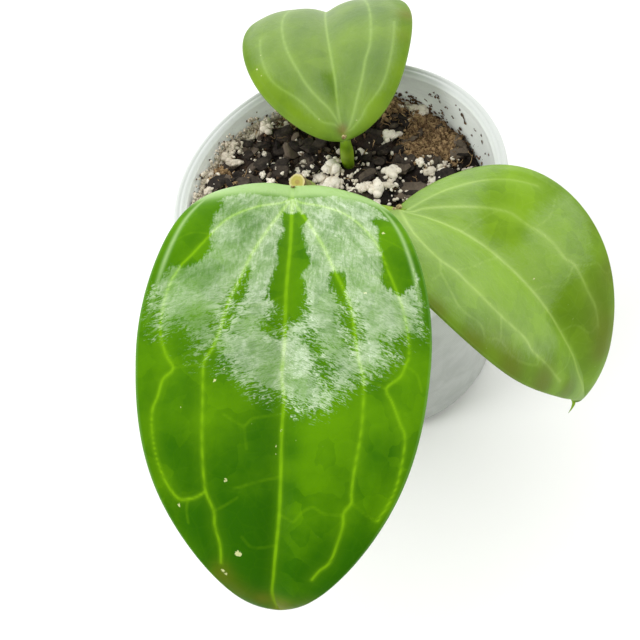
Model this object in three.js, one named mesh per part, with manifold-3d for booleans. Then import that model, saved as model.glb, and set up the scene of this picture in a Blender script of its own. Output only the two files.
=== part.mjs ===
// Potted hoya: three thick leaves and a cut stem in a tapered nursery pot of soil.
// Millimetres, +Z up, origin at the centre of the pot's underside, the plant's front towards -Y.
import * as THREE from 'three';
import { mergeVertices } from 'three/addons/utils/BufferGeometryUtils.js';
import Module from 'manifold-3d';

const wasm = await Module();
wasm.setup();

// Driving dimensions of the pot
const pot = {
  height: 90,
  rimRadius: 50,
  rimHeight: 5.5,
  rimOverhang: 2.4,
  baseRadius: 38,
  baseRounding: 7,
  wall: 1.2,
  floor: 1.6,
  segments: 48,
  drains: { count: 6, radius: 3, circle: 29 },
};

// Driving dimensions of the soil: its surface slopes down from the left wall to the right one
const soil = {
  gap: 0.3,
  level: 77.4,
  slopeX: -0.12,
  slopeY: 0.05,
  waves: [
    { height: 1.1, length: 13, direction: 40, phase: 75 },
    { height: 0.7, length: 8.5, direction: -35, phase: 30 },
    { height: 0.8, length: 17, direction: 100, phase: 0 },
  ],
  heaps: [
    { at: [-30, 30], height: 4, reach: 11 },
    { at: [28, 36], height: 3, reach: 9.5 },
  ],
  rings: [43, 37, 31, 25, 19, 13, 7],
  segments: 40,
};

// Loose pieces that lie half sunk in the soil: perlite grains by hand, bark chips by a seeded rule
const perlite = [
  { at: [1, 16.5], radius: 3 },
  { at: [-0.8, 11.2], radius: 2.4 },
  { at: [-4, 15.5], radius: 2 },
  { at: [8.2, 6], radius: 1.9 },
  { at: [12, 3.6], radius: 2.6 },
  { at: [17.5, 8.5], radius: 2.7 },
  { at: [21, 22.2], radius: 3 },
  { at: [28.9, 5], radius: 1.8 },
  { at: [33, 8], radius: 1.6 },
  { at: [33, 26], radius: 2.3 },
  { at: [-15, 37], radius: 2.3 },
  { at: [-27.6, 26.7], radius: 2.5 },
  { at: [-19.5, 22.5], radius: 1.9 },
  { at: [-38, 18.5], radius: 1.9 },
];
const bark = { count: 26, reach: 38, shortest: 2.6, longest: 5.4, tilt: 0.3, sunk: 0.35, seed: 7 };

// Driving dimensions of the stem, from its foot in the soil to the cut end
const stem = {
  path: [
    [-4, -0.5, 52],
    [-4.5, -3.5, 77.5],
    [-6, -8, 92],
    [-7.6, -12.6, 105.2],
    [-9, -18.5, 117.6],
  ],
  radius: [2.3, 2.5, 2.4, 3, 2.1],
  sides: 12,
  steps: 20,
};
const seat = 0.3;

// Driving dimensions of the leaves: angles in degrees, heading 0 along +X, half widths from base to tip
const leaves = [
  {
    name: 'front_leaf',
    colour: 0x3f8212,
    base: [-10.4, -22.3, 119.9],
    length: 114,
    heading: -98,
    turn: -22,
    pitch: 31,
    droop: 62.5,
    droopPower: 0.66,
    tipCurl: 60,
    roll: -17.5,
    twist: 6,
    fold: 18.5,
    camber: 30,
    left: [45.5, 40.5, 35, 32.5, 30, 23, 13.5],
    right: [46, 40, 35, 33, 30, 20, 11],
    petiole: [
      [-7.6, -12.6, 105.2],
      [-9, -18.4, 106.8],
      [-10.4, -22.6, 111],
      [-10.8, -23.3, 116.5],
      [-10.6, -24.6, 119.7],
    ],
    petioleRadius: [1.9, 1.8, 1.8, 1.9, 1.5],
  },
  {
    name: 'right_leaf',
    colour: 0x86b23e,
    base: [13.6, -27.1, 103.1],
    length: 96,
    heading: -47,
    turn: -23,
    pitch: 25,
    droop: 124,
    droopPower: 0.77,
    tipCurl: 30,
    roll: -25,
    twist: 27,
    fold: 24,
    camber: 31,
    left: [47.5, 41, 35, 26, 13, 1.5, 1],
    right: [47.5, 41, 34.5, 25, 12, 1.5, 1],
    petiole: [
      [-7.6, -12.6, 105.2],
      [0, -17.5, 103.2],
      [8, -23.2, 101.6],
      [13.1, -27, 101.9],
      [15.6, -29.4, 103.6],
    ],
    petioleRadius: [1.9, 1.8, 1.7, 1.9, 1.4],
  },
  {
    name: 'back_leaf',
    colour: 0x8fb554,
    base: [7.2, 13.6, 92.3],
    length: 83.5,
    heading: 80.7,
    turn: 2,
    pitch: 35,
    droop: 98,
    droopPower: 1,
    tipCurl: 0,
    roll: 2.5,
    twist: 5,
    fold: 24,
    camber: 43,
    left: [24.5, 25, 27.5, 27, 23.5, 21, 12],
    right: [26.5, 27, 27, 27.5, 25.5, 22, 12],
    petiole: [
      [6.2, 17, 54],
      [6.7, 14.8, 78],
      [7, 13.2, 87.5],
      [7.2, 13.9, 91.2],
      [7.5, 16, 92.8],
    ],
    petioleRadius: [1.8, 1.9, 2.1, 2.2, 1.4],
  },
];
const blade = { thickness: 1.5, margin: 0.8, rib: 1.1, stations: 20, columns: 12 };

const radians = THREE.MathUtils.degToRad;
const vector = (p) => new THREE.Vector3(...p);

// A closed solid from a three.js geometry, with shared vertices merged and collapsed faces dropped
function solidOf(geometry) {
  const bare = new THREE.BufferGeometry().setAttribute('position', geometry.getAttribute('position'));
  if (geometry.index) bare.setIndex(geometry.index);
  const merged = mergeVertices(bare, 1e-4);
  const index = merged.index.array;
  const faces = [];
  for (let i = 0; i < index.length; i += 3) {
    const [a, b, c] = index.subarray(i, i + 3);
    if (a !== b && b !== c && c !== a) faces.push(a, b, c);
  }
  const vertProperties = merged.getAttribute('position').array;
  return new wasm.Manifold(new wasm.Mesh({ numProp: 3, vertProperties, triVerts: new Uint32Array(faces) }));
}

// The solid with its faces turned to the outside
function outward(geometry) {
  const body = solidOf(geometry);
  if (body.volume() > 0) return body;
  const index = geometry.index.array;
  for (let i = 0; i < index.length; i += 3) {
    [index[i + 1], index[i + 2]] = [index[i + 2], index[i + 1]];
  }
  return solidOf(geometry);
}

// A named mesh from a solid
function meshOf(name, body, material) {
  const { numVert, numProp, vertProperties, triVerts } = body.getMesh();
  const position = new Float32Array(numVert * 3);
  for (let i = 0; i < numVert; i += 1) {
    position.set(vertProperties.subarray(i * numProp, i * numProp + 3), i * 3);
  }
  const geometry = new THREE.BufferGeometry();
  geometry.setAttribute('position', new THREE.BufferAttribute(position, 3));
  geometry.setIndex(new THREE.BufferAttribute(triVerts, 1));
  geometry.computeVertexNormals();
  const mesh = new THREE.Mesh(geometry, new THREE.MeshStandardMaterial(material));
  mesh.name = name;
  return mesh;
}

// The same random numbers each time, from 0 to 1
function randomFrom(seed) {
  let state = seed;
  return () => {
    state = (state * 16807) % 2147483647;
    return state / 2147483647;
  };
}

// A smooth value at x, from 0 to 1, through evenly spaced values
function smoothValue(values, x) {
  const last = values.length - 1;
  const place = THREE.MathUtils.clamp(x, 0, 1) * last;
  const i = Math.min(Math.floor(place), last - 1);
  const f = place - i;
  const slope = (k) => {
    if (k === 0) return values[1] - values[0];
    if (k === last) return values[last] - values[last - 1];
    return (values[k + 1] - values[k - 1]) / 2;
  };
  const square = f * f;
  const cube = square * f;
  return (2 * cube - 3 * square + 1) * values[i] + (cube - 2 * square + f) * slope(i)
    + (3 * square - 2 * cube) * values[i + 1] + (cube - square) * slope(i + 1);
}

// A closed tube along a smooth path, its radius changing from point to point, and extra all round
function tube(path, radius, sides, steps, extra = 0) {
  const curve = new THREE.CatmullRomCurve3(path.map(vector));
  const geometry = new THREE.CylinderGeometry(1, 1, 1, sides, steps);
  const frames = curve.computeFrenetFrames(steps, false);
  const position = geometry.getAttribute('position');
  for (let k = 0; k < position.count; k += 1) {
    const along = 0.5 - position.getY(k);
    const step = Math.round(along * steps);
    const width = smoothValue(radius, curve.getUtoTmapping(step / steps)) + extra;
    const beyond = step === 0 ? -extra : (step === steps ? extra : 0);
    const point = curve.getPointAt(step / steps)
      .addScaledVector(frames.tangents[step], beyond)
      .addScaledVector(frames.normals[step], -position.getX(k) * width)
      .addScaledVector(frames.binormals[step], position.getZ(k) * width);
    position.setXYZ(k, point.x, point.y, point.z);
  }
  return outward(geometry);
}

// Point and frame of a leaf's midrib, u from 0 at the base to 1 at the tip
function midribOf(leaf) {
  const pieces = 160;
  const angles = (u) => ({
    heading: radians(leaf.heading + leaf.turn * u),
    pitch: radians(leaf.pitch - leaf.droop * u ** leaf.droopPower - leaf.tipCurl * u ** 10),
    roll: radians(leaf.roll + leaf.twist * u),
  });
  const tangentAt = (u) => {
    const { heading, pitch } = angles(u);
    const flat = Math.cos(pitch);
    return new THREE.Vector3(flat * Math.cos(heading), flat * Math.sin(heading), Math.sin(pitch));
  };
  const points = [vector(leaf.base)];
  for (let i = 0; i < pieces; i += 1) {
    const step = tangentAt((i + 0.5) / pieces).multiplyScalar(leaf.length / pieces);
    points.push(points[i].clone().add(step));
  }
  return (u) => {
    const place = Math.min(u * pieces, pieces - 1e-6);
    const i = Math.floor(place);
    const { heading, roll } = angles(u);
    const tangent = tangentAt(u);
    const level = new THREE.Vector3(-Math.sin(heading), Math.cos(heading), 0);
    const upright = tangent.clone().cross(level);
    const across = level.clone().multiplyScalar(Math.cos(roll)).addScaledVector(upright, Math.sin(roll));
    const up = level.multiplyScalar(-Math.sin(roll)).addScaledVector(upright, Math.cos(roll));
    return { point: points[i].clone().lerp(points[i + 1], place - i), tangent, across, up };
  };
}

// Middle surface of a blade: angle from 0 at the base to pi at the tip, side from -1 to 1 across it
function surfaceOf(leaf) {
  const midrib = midribOf(leaf);
  const bend = radians(leaf.camber);
  const rise = radians(leaf.fold);
  return (angle, side) => {
    const { point, across, up } = midrib((1 - Math.cos(angle)) / 2);
    const widths = side > 0 ? leaf.left : leaf.right;
    const reach = Math.sin(angle) * Math.max(smoothValue(widths, angle / Math.PI), 0.8);
    const turned = rise - bend * Math.abs(side);
    const out = (reach / bend) * (Math.sin(rise) - Math.sin(turned));
    const lift = (reach / bend) * (Math.cos(turned) - Math.cos(rise));
    return point.addScaledVector(across, Math.sign(side) * out).addScaledVector(up, lift);
  };
}

// A blade as a closed solid: thick at the midrib, thinner at the margin, with a rib underneath
function bladeSolid(leaf) {
  const surface = surfaceOf(leaf);
  const midrib = midribOf(leaf);
  const { stations, columns } = blade;
  const delta = 0.02;
  const normalAt = (angle, side) => {
    const a = surface(Math.min(angle + delta, Math.PI - delta), side);
    const b = surface(Math.max(angle - delta, delta), side);
    const c = surface(angle, Math.min(side + delta, 1));
    const d = surface(angle, Math.max(side - delta, -1));
    return a.sub(b).cross(c.sub(d)).normalize();
  };
  const vertices = [];
  const place = (point, normal, above, below) => {
    vertices.push(point.clone().addScaledVector(normal, above));
    vertices.push(point.clone().addScaledVector(normal, -below));
    return vertices.length / 2 - 1;
  };
  const grid = [];
  for (let i = 1; i < stations; i += 1) {
    const angle = (Math.PI * i) / stations;
    const row = [];
    for (let j = 0; j <= columns; j += 1) {
      const side = (2 * j) / columns - 1;
      const half = (blade.margin + (blade.thickness - blade.margin) * (1 - side * side)) / 2;
      const rib = j === columns / 2 ? blade.rib * (1 - i / stations) : 0;
      row.push(place(surface(angle, side), normalAt(angle, side), half, half + rib));
    }
    grid.push(row);
  }
  const ends = [0, 1].map((u) => {
    const { point, up } = midrib(u);
    return place(point, up, blade.margin / 2, blade.margin / 2);
  });
  const index = [];
  const both = (a, b, c) => index.push(2 * a, 2 * b, 2 * c, 2 * a + 1, 2 * c + 1, 2 * b + 1);
  const wall = (a, b) => index.push(2 * a, 2 * a + 1, 2 * b, 2 * b, 2 * a + 1, 2 * b + 1);
  for (let j = 0; j < columns; j += 1) {
    both(ends[0], grid[0][j], grid[0][j + 1]);
    both(ends[1], grid.at(-1)[j + 1], grid.at(-1)[j]);
    for (let i = 0; i < grid.length - 1; i += 1) {
      both(grid[i][j], grid[i + 1][j], grid[i + 1][j + 1]);
      both(grid[i][j], grid[i + 1][j + 1], grid[i][j + 1]);
    }
  }
  const rightEdge = [ends[0], ...grid.map((row) => row[0]), ends[1]];
  const leftEdge = [ends[0], ...grid.map((row) => row[columns]), ends[1]];
  for (let i = 0; i < rightEdge.length - 1; i += 1) {
    wall(rightEdge[i], rightEdge[i + 1]);
    wall(leftEdge[i + 1], leftEdge[i]);
  }
  const geometry = new THREE.BufferGeometry().setFromPoints(vertices).setIndex(index);
  return outward(geometry);
}

// The pot: one turned wall with a stiff rim, a rounded foot and drain holes
function potSolid() {
  const { height, rimRadius, rimHeight, rimOverhang, baseRadius, baseRounding, wall, floor } = pot;
  const topRadius = rimRadius - rimOverhang;
  const slope = (topRadius - baseRadius) / height;
  const outer = (z) => baseRadius + slope * z;
  const corner = (radius, inset, lift) => [0, 30, 60, 90].map((a) => {
    const turn = radians(a);
    const out = outer(baseRounding) - inset - radius * (1 - Math.sin(turn));
    return [out, lift + radius * (1 - Math.cos(turn))];
  });
  const lip = wall * 0.75;
  const profile = [
    [0, 0],
    ...corner(baseRounding, 0, 0),
    [outer(height - rimHeight), height - rimHeight],
    [rimRadius - 0.4, height - rimHeight],
    [rimRadius, height - rimHeight + 0.8],
    [rimRadius, height - 1],
    [rimRadius - lip, height],
    [rimRadius - 2 * lip, height - 0.3],
    [topRadius - wall + 0.4, height - 0.6],
    [topRadius - wall, height - 1.6],
    ...corner(baseRounding - wall, wall, floor).reverse(),
    [0, floor],
  ];
  const geometry = new THREE.LatheGeometry(profile.map(([r, z]) => new THREE.Vector2(r, z)), pot.segments);
  geometry.rotateX(Math.PI / 2);
  let body = solidOf(geometry);
  for (let k = 0; k < pot.drains.count; k += 1) {
    const turn = (2 * Math.PI * k) / pot.drains.count;
    const drain = new THREE.CylinderGeometry(pot.drains.radius, pot.drains.radius, 4 * floor, 16);
    drain.rotateX(Math.PI / 2);
    drain.translate(pot.drains.circle * Math.cos(turn), pot.drains.circle * Math.sin(turn), floor);
    body = body.subtract(solidOf(drain));
  }
  return body;
}

// Inner radius of the pot less the gap, at a height
function soilRadius(z) {
  const outer = pot.baseRadius + ((pot.rimRadius - pot.rimOverhang - pot.baseRadius) * z) / pot.height;
  return outer - pot.wall - soil.gap;
}

// Height of the soil's surface at a place
function soilHeight(x, y) {
  let z = soil.level + soil.slopeX * x + soil.slopeY * y;
  for (const { height, length, direction, phase } of soil.waves) {
    const along = x * Math.cos(radians(direction)) + y * Math.sin(radians(direction));
    z += height * Math.sin((2 * Math.PI * along) / length + radians(phase));
  }
  for (const { at, height, reach } of soil.heaps) {
    z += height * Math.exp(-(((x - at[0]) ** 2 + (y - at[1]) ** 2) / (2 * reach ** 2)));
  }
  return z;
}

// The soil: a turned plug that fills the pot, its flat top then lifted to the uneven surface
function soilSolid() {
  const foot = pot.baseRounding + pot.floor;
  const bottom = pot.floor + soil.gap;
  const rim = soilRadius(soil.level);
  const side = [[0, bottom], [soilRadius(foot) - foot + 2.5, bottom], [soilRadius(foot), foot]];
  const top = [rim, ...soil.rings, 0].map((radius) => [radius, soil.level]);
  const profile = [...side, ...top].map(([r, z]) => new THREE.Vector2(r, z));
  const geometry = new THREE.LatheGeometry(profile, soil.segments);
  geometry.rotateX(Math.PI / 2);
  const position = geometry.getAttribute('position');
  for (let k = 0; k < position.count; k += 1) {
    const ring = k % profile.length;
    if (ring < side.length) continue;
    const [x, y] = [position.getX(k), position.getY(k)];
    const z = soilHeight(x, y);
    const stretch = ring === side.length ? soilRadius(z) / rim : 1;
    position.setXYZ(k, x * stretch, y * stretch, z);
  }
  return outward(geometry);
}

// A lump of few faces, squashed and turned, half sunk in the soil
function lump([x, y], [width, depth, height], turn, tilt, sunk, detail) {
  const geometry = new THREE.IcosahedronGeometry(1, detail);
  geometry.scale(width, depth, height);
  geometry.rotateX(tilt);
  geometry.rotateZ(turn);
  geometry.translate(x, y, soilHeight(x, y) + height * sunk);
  return solidOf(geometry);
}

function looseSolids() {
  const random = randomFrom(bark.seed);
  const grains = perlite.map(({ at, radius }) => {
    const size = [radius, radius * (0.75 + 0.2 * random()), radius * 0.75];
    return lump(at, size, random() * Math.PI, 0, 0.3, 1);
  });
  const chips = Array.from({ length: bark.count }, () => {
    const away = bark.reach * Math.sqrt(random());
    const turn = 2 * Math.PI * random();
    const long = bark.shortest + (bark.longest - bark.shortest) * random();
    const size = [long, long * (0.4 + 0.3 * random()), long * 0.38];
    const at = [away * Math.cos(turn), away * Math.sin(turn)];
    return lump(at, size, 2 * Math.PI * random(), bark.tilt, bark.sunk, 0);
  });
  return [...grains, ...chips];
}

// The biggest body of a cut solid: crumbs that a hole leaves loose are dropped
function biggest(body) {
  return body.decompose().reduce((a, b) => (b.volume() > a.volume() ? b : a));
}

const stemBody = (extra) => tube(stem.path, stem.radius, stem.sides, stem.steps, extra);
const petioleBody = (leaf, extra) => tube(leaf.petiole, leaf.petioleRadius, 10, 12, extra);

const plant = new THREE.Group();
plant.add(meshOf('pot', potSolid(), { color: 0xe9eeea, roughness: 0.4, metalness: 0 }));

const standing = [stemBody(seat), petioleBody(leaves[2], seat)];
let ground = soilSolid();
for (const piece of looseSolids()) ground = ground.add(piece);
for (const hole of standing) ground = ground.subtract(hole);
plant.add(meshOf('soil', biggest(ground), { color: 0x3a2c24, roughness: 0.95, metalness: 0 }));

plant.add(meshOf('stem', stemBody(0), { color: 0x7f8f3c, roughness: 0.6, metalness: 0 }));

for (const leaf of leaves) {
  const whole = bladeSolid(leaf).add(petioleBody(leaf, 0)).subtract(stemBody(seat));
  plant.add(meshOf(leaf.name, whole, { color: leaf.colour, roughness: 0.35, metalness: 0 }));
}

export default plant;
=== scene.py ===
import math

import bmesh
import bpy
import numpy as np
from mathutils import Matrix, Vector
from mathutils.kdtree import KDTree


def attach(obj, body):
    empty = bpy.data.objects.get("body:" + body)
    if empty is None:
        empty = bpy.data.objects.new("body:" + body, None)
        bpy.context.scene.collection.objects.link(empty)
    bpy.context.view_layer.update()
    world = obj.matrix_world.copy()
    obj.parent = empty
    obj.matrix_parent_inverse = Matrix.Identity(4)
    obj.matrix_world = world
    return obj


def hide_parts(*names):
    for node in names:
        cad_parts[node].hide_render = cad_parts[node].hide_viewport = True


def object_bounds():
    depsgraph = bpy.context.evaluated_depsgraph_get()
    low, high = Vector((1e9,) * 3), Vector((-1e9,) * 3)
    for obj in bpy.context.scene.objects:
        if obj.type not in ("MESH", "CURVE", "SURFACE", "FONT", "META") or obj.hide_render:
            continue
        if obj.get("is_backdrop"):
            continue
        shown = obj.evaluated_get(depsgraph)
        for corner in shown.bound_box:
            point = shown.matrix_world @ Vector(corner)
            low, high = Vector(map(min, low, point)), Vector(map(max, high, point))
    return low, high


# A potted hoya: three thick leaves and a cut stem in a tapered nursery pot of soil.
# Places and sizes are in millimetres until a mesh is made. +Z is up and the front is towards -Y.
# Colours are screen colours from 0 to 255.
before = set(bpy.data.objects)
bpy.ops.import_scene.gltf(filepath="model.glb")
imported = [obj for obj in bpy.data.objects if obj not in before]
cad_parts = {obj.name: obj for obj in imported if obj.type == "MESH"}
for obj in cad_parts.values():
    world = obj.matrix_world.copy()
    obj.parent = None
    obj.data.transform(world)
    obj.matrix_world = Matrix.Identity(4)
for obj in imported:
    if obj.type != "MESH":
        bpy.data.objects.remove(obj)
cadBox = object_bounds()
mm = 0.001
print("frame loaded")


# Curves and noise

def rotation(degrees):
    turn = math.radians(degrees)
    return math.cos(turn), math.sin(turn)


def unit(vectors):
    return vectors / np.maximum(np.linalg.norm(vectors, axis=-1, keepdims=True), 1e-9)


def stacked(*columns):
    return np.stack(np.broadcast_arrays(*columns), axis=-1)


def cellValue(cells, seed):
    # one number from 0 to 1 for each whole-numbered cell
    mixed = (cells[..., 0] * 73856093) ^ (cells[..., 1] * 19349663) ^ (cells[..., 2] * 83492791)
    mixed = mixed ^ (seed * 6971)
    mixed = ((mixed ^ (mixed >> 13)) * 1274126177) & 0x7FFFFFFF
    mixed = ((mixed ^ (mixed >> 15)) * 668265263) & 0x7FFFFFFF
    return ((mixed ^ (mixed >> 11)) & 0xFFFF) / 65535.0


def softNoise(points, size, seed):
    # smooth noise from -1 to 1 with bumps about this size
    place = np.asarray(points, float) / size
    low = np.floor(place).astype(np.int64)
    part = place - low
    part = part * part * (3 - 2 * part)
    total = np.zeros(place.shape[:-1])
    for corner in np.ndindex(2, 2, 2):
        weight = np.where(np.array(corner) == 1, part, 1 - part).prod(axis=-1)
        total += weight * cellValue(low + np.array(corner), seed)
    return 2 * total - 1


def roughNoise(points, size, layers, seed):
    return sum(softNoise(points, size / 2 ** k, seed + k) / 2 ** k for k in range(layers))


def smoothValue(values, place):
    # a smooth value at a place from 0 to 1 through evenly spaced values
    values = np.asarray(values, float)
    last = len(values) - 1
    x = np.clip(place, 0, 1) * last
    i = np.minimum(np.floor(x).astype(int), last - 1)
    f = x - i
    slopes = np.gradient(values)
    return ((2 * f ** 3 - 3 * f ** 2 + 1) * values[i] + (f ** 3 - 2 * f ** 2 + f) * slopes[i]
            + (3 * f ** 2 - 2 * f ** 3) * values[i + 1] + (f ** 3 - f ** 2) * slopes[i + 1])


def ridge(gap, height, width):
    # a smooth ridge: its height at this distance from its middle
    return height * np.exp(-(gap / width) ** 2)


def smoothRoute(points, count):
    # an even walk along a smooth curve through the points
    p = np.array(points, float)
    p = np.vstack([2 * p[0] - p[1], p, 2 * p[-1] - p[-2]])
    walked = []
    for i in range(len(p) - 3):
        a, b, c, d = p[i:i + 4]
        ta = 0.0
        tb = ta + np.linalg.norm(b - a) ** 0.5
        tc = tb + np.linalg.norm(c - b) ** 0.5
        td = tc + np.linalg.norm(d - c) ** 0.5
        t = np.linspace(tb, tc, 40, endpoint=False)[:, None]
        ab = (tb - t) / (tb - ta) * a + (t - ta) / (tb - ta) * b
        bc = (tc - t) / (tc - tb) * b + (t - tb) / (tc - tb) * c
        cd = (td - t) / (td - tc) * c + (t - tc) / (td - tc) * d
        abc = (tc - t) / (tc - ta) * ab + (t - ta) / (tc - ta) * bc
        bcd = (td - t) / (td - tb) * bc + (t - tb) / (td - tb) * cd
        walked.append((tc - t) / (tc - tb) * abc + (t - tb) / (tc - tb) * bcd)
    walked = np.vstack(walked + [p[-2:-1]])
    far = np.r_[0, np.cumsum(np.linalg.norm(np.diff(walked, axis=0), axis=1))]
    even = np.linspace(0, far[-1], count)
    return np.stack([np.interp(even, far, walked[:, k]) for k in range(p.shape[1])], axis=1)


# Meshes

def ringQuads(rings, around, start=0):
    # quads between rings of points, each ring closed
    i, j = np.meshgrid(np.arange(rings - 1), np.arange(around), indexing="ij")
    k = (j + 1) % around
    quads = np.stack([i * around + j, i * around + k, (i + 1) * around + k, (i + 1) * around + j], axis=-1)
    return [tuple(q) for q in quads.reshape(-1, 4) + start]


def fan(middle, first, around, down=False):
    # triangles from a ring of points to its middle
    ends = [(middle, first + j, first + (j + 1) % around) for j in range(around)]
    return [end[::-1] for end in ends] if down else ends


def levelRings(radius, z, around):
    # a level ring of points for each radius and height
    turn = np.linspace(0, 2 * np.pi, around, endpoint=False)
    radius, z = np.asarray(radius, float)[..., None], np.asarray(z, float)[..., None]
    return stacked(radius * np.cos(turn), radius * np.sin(turn), z)


def tubeRings(route, radii, around):
    # rings of points round a route, and the direction in which it runs
    ahead = unit(np.gradient(route, axis=0))
    side = np.zeros_like(route)
    side[0] = unit(np.cross(ahead[0], (0.3, 0.9, 0.1)))
    for i in range(1, len(route)):
        side[i] = unit(side[i - 1] - ahead[i] * (side[i - 1] @ ahead[i]))
    other = np.cross(ahead, side)
    turn = np.linspace(0, 2 * np.pi, around, endpoint=False)
    out = np.cos(turn)[None, :, None] * side[:, None] + np.sin(turn)[None, :, None] * other[:, None]
    return route[:, None] + out * np.asarray(radii)[..., None], ahead


def closedTube(route, radii, around, start):
    # a tube closed at both ends: its points and faces
    rings, _ = tubeRings(route, radii, around)
    foot = start + len(route) * around
    faces = ringQuads(len(route), around, start)
    faces += fan(foot, start, around, down=True) + fan(foot + 1, foot - around, around)
    return np.vstack([rings.reshape(-1, 3), route[:1], route[-1:]]), faces


def ballShape(detail):
    # points and faces of a ball, finer with more detail
    made = bmesh.new()
    bmesh.ops.create_icosphere(made, subdivisions=detail, radius=1)
    points = np.array([v.co[:] for v in made.verts])
    faces = np.array([[v.index for v in f.verts] for f in made.faces])
    made.free()
    return points, faces


def turnedBy(turn):
    # matrices that turn by these angles, in radians, about the upright axis
    cosine, sine = np.cos(turn), np.sin(turn)
    zero, one = 0 * turn, 1 + 0 * turn
    return stacked(cosine, -sine, zero, sine, cosine, zero, zero, zero, one).reshape(-1, 3, 3)


def anyTurn(random, count, lean):
    # matrices that turn any way round and lean by about this much
    spin = random.uniform(0, 2 * np.pi, count)
    tilt = random.normal(0, lean, count)
    side = random.uniform(0, 2 * np.pi, count)
    cosine, sine = np.cos(tilt), np.sin(tilt)
    zero, one = 0 * tilt, 1 + 0 * tilt
    leaning = stacked(one, zero, zero, zero, cosine, -sine, zero, sine, cosine).reshape(-1, 3, 3)
    return turnedBy(side) @ leaning @ turnedBy(spin)


def scatter(shape, centres, sizes, turns, rough, random, square=0.0, jagged=0.0):
    # many uneven lumps in one mesh
    ball, faces = shape
    count = len(centres)
    waves = random.normal(0, 1, (count, 5, 3)) * np.array([1.2, 1.8, 2.6, 3.6, 5.0])[None, :, None]
    phases = random.uniform(0, 2 * np.pi, (count, 5))
    swing = np.sin(np.einsum("vk,nwk->nvw", ball, waves) + phases[:, None])
    swing = swing * np.array([1, 0.8, 0.6, 0.4, 0.25])
    radius = 1 + rough * swing.sum(axis=-1) + jagged * random.uniform(-1, 1, swing.shape[:2])
    body = ball[None] * radius[..., None]
    if square:
        body = np.sign(body) * np.abs(body) ** (1 - square)
    body = np.einsum("nij,nvj->nvi", turns, body * sizes[:, None]) + centres[:, None]
    index = (faces[None] + np.arange(count)[:, None, None] * len(ball)).reshape(-1, 3)
    return body.reshape(-1, 3), index


def joinLumps(lumps):
    # sets of lumps as one: points, faces and a tone for each point
    points, faces, tones, start = [], [], [], 0
    for (some, theirFaces), tone in lumps:
        points.append(some)
        faces.append(theirFaces + start)
        tones.append(np.repeat(tone, len(some) // len(tone)))
        start += len(some)
    return np.vstack(points), np.vstack(faces).tolist(), np.concatenate(tones)


def addMark(mesh, key, values):
    # a value at each point that a material reads
    values = np.asarray(values, np.float32)
    kind = "FLOAT" if values.ndim == 1 else "FLOAT_VECTOR"
    layer = mesh.attributes.new(key, kind, "POINT")
    layer.data.foreach_set("value" if kind == "FLOAT" else "vector", values.ravel())


def makePiece(name, points, faces, materials, slots=None, marks=None, smooth=True):
    # slots say which material each face has, and marks are values for the materials
    mesh = bpy.data.meshes.new(name)
    mesh.from_pydata((np.asarray(points) * mm).tolist(), [], [tuple(f) for f in faces])
    for material in materials:
        mesh.materials.append(material)
    if slots is not None:
        mesh.polygons.foreach_set("material_index", np.asarray(slots, np.int32))
    mesh.polygons.foreach_set("use_smooth", np.full(len(mesh.polygons), smooth))
    for key, values in (marks or {}).items():
        addMark(mesh, key, values)
    mesh.update()
    piece = bpy.data.objects.new(name, mesh)
    bpy.context.collection.objects.link(piece)
    print(name, "made:", len(faces), "faces")
    return piece


def standFor(piece, node, slot):
    # a piece takes the place of a node of the part
    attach(piece, "root")
    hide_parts(node)


# Materials

def linear(colour):
    # a screen colour as the light it stands for
    parts = [c / 255 for c in colour]
    return tuple(c / 12.92 if c <= 0.04045 else ((c + 0.055) / 1.055) ** 2.4 for c in parts) + (1.0,)


def addNode(tree, kind, feeds=None, **settings):
    made = tree.nodes.new("ShaderNode" + kind)
    for key, value in settings.items():
        setattr(made, key, value)
    for key, value in (feeds or {}).items():
        socket = made.inputs[key]
        if isinstance(value, bpy.types.NodeSocket):
            tree.links.new(value, socket)
        else:
            socket.default_value = value
    return made


def startMaterial(name, **fixed):
    material = bpy.data.materials.new(name)
    material.use_nodes = True
    tree = material.node_tree
    skin = tree.nodes["Principled BSDF"]
    for key, value in fixed.items():
        skin.inputs[key.replace("_", " ")].default_value = value
    return material, tree, skin


def sums(tree, how, first, *others):
    for other in others or (0.0,):
        first = addNode(tree, "Math", {0: first, 1: other}, operation=how).outputs[0]
    return first


def plus(tree, *values):
    return sums(tree, "ADD", *values)


def times(tree, *values):
    return sums(tree, "MULTIPLY", *values)


def minus(tree, first, second):
    return sums(tree, "SUBTRACT", first, second)


def spread(tree, value, low, high, toLow=0.0, toHigh=1.0):
    # from low to high, eased into the second pair of values
    feeds = {"Value": value, "From Min": low, "From Max": high, "To Min": toLow, "To Max": toHigh}
    return addNode(tree, "MapRange", feeds, interpolation_type="SMOOTHSTEP").outputs["Result"]


def blend(tree, amount, first, second, how="MIX"):
    first, second = (c if isinstance(c, bpy.types.NodeSocket) else linear(c) for c in (first, second))
    return addNode(tree, "Mix", {0: amount, 6: first, 7: second}, data_type="RGBA", blend_type=how).outputs[2]


def layered(tree, colour, *coats):
    # colours laid over each other, each with how much it covers
    for amount, over in coats:
        colour = blend(tree, amount, colour, over)
    return colour


def grain(tree, vector, scale, detail=3.0, rough=0.55, stretch=None, warp=0.0):
    # cloudy noise from 0 to 1
    if stretch:
        vector = addNode(tree, "Mapping", {"Vector": vector, "Scale": stretch}).outputs[0]
    feeds = {"Vector": vector, "Scale": scale, "Detail": detail, "Roughness": rough, "Distortion": warp}
    return addNode(tree, "TexNoise", feeds).outputs["Fac"]


def cellsOf(tree, vector, scale, feature="F1", output="Distance", **feeds):
    feeds = {"Vector": vector, "Scale": scale, **feeds}
    return addNode(tree, "TexVoronoi", feeds, feature=feature).outputs[output]


def marked(tree, name):
    # a value that the mesh has at each point
    return addNode(tree, "Attribute", attribute_name=name, attribute_type="GEOMETRY").outputs["Fac"]


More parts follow.
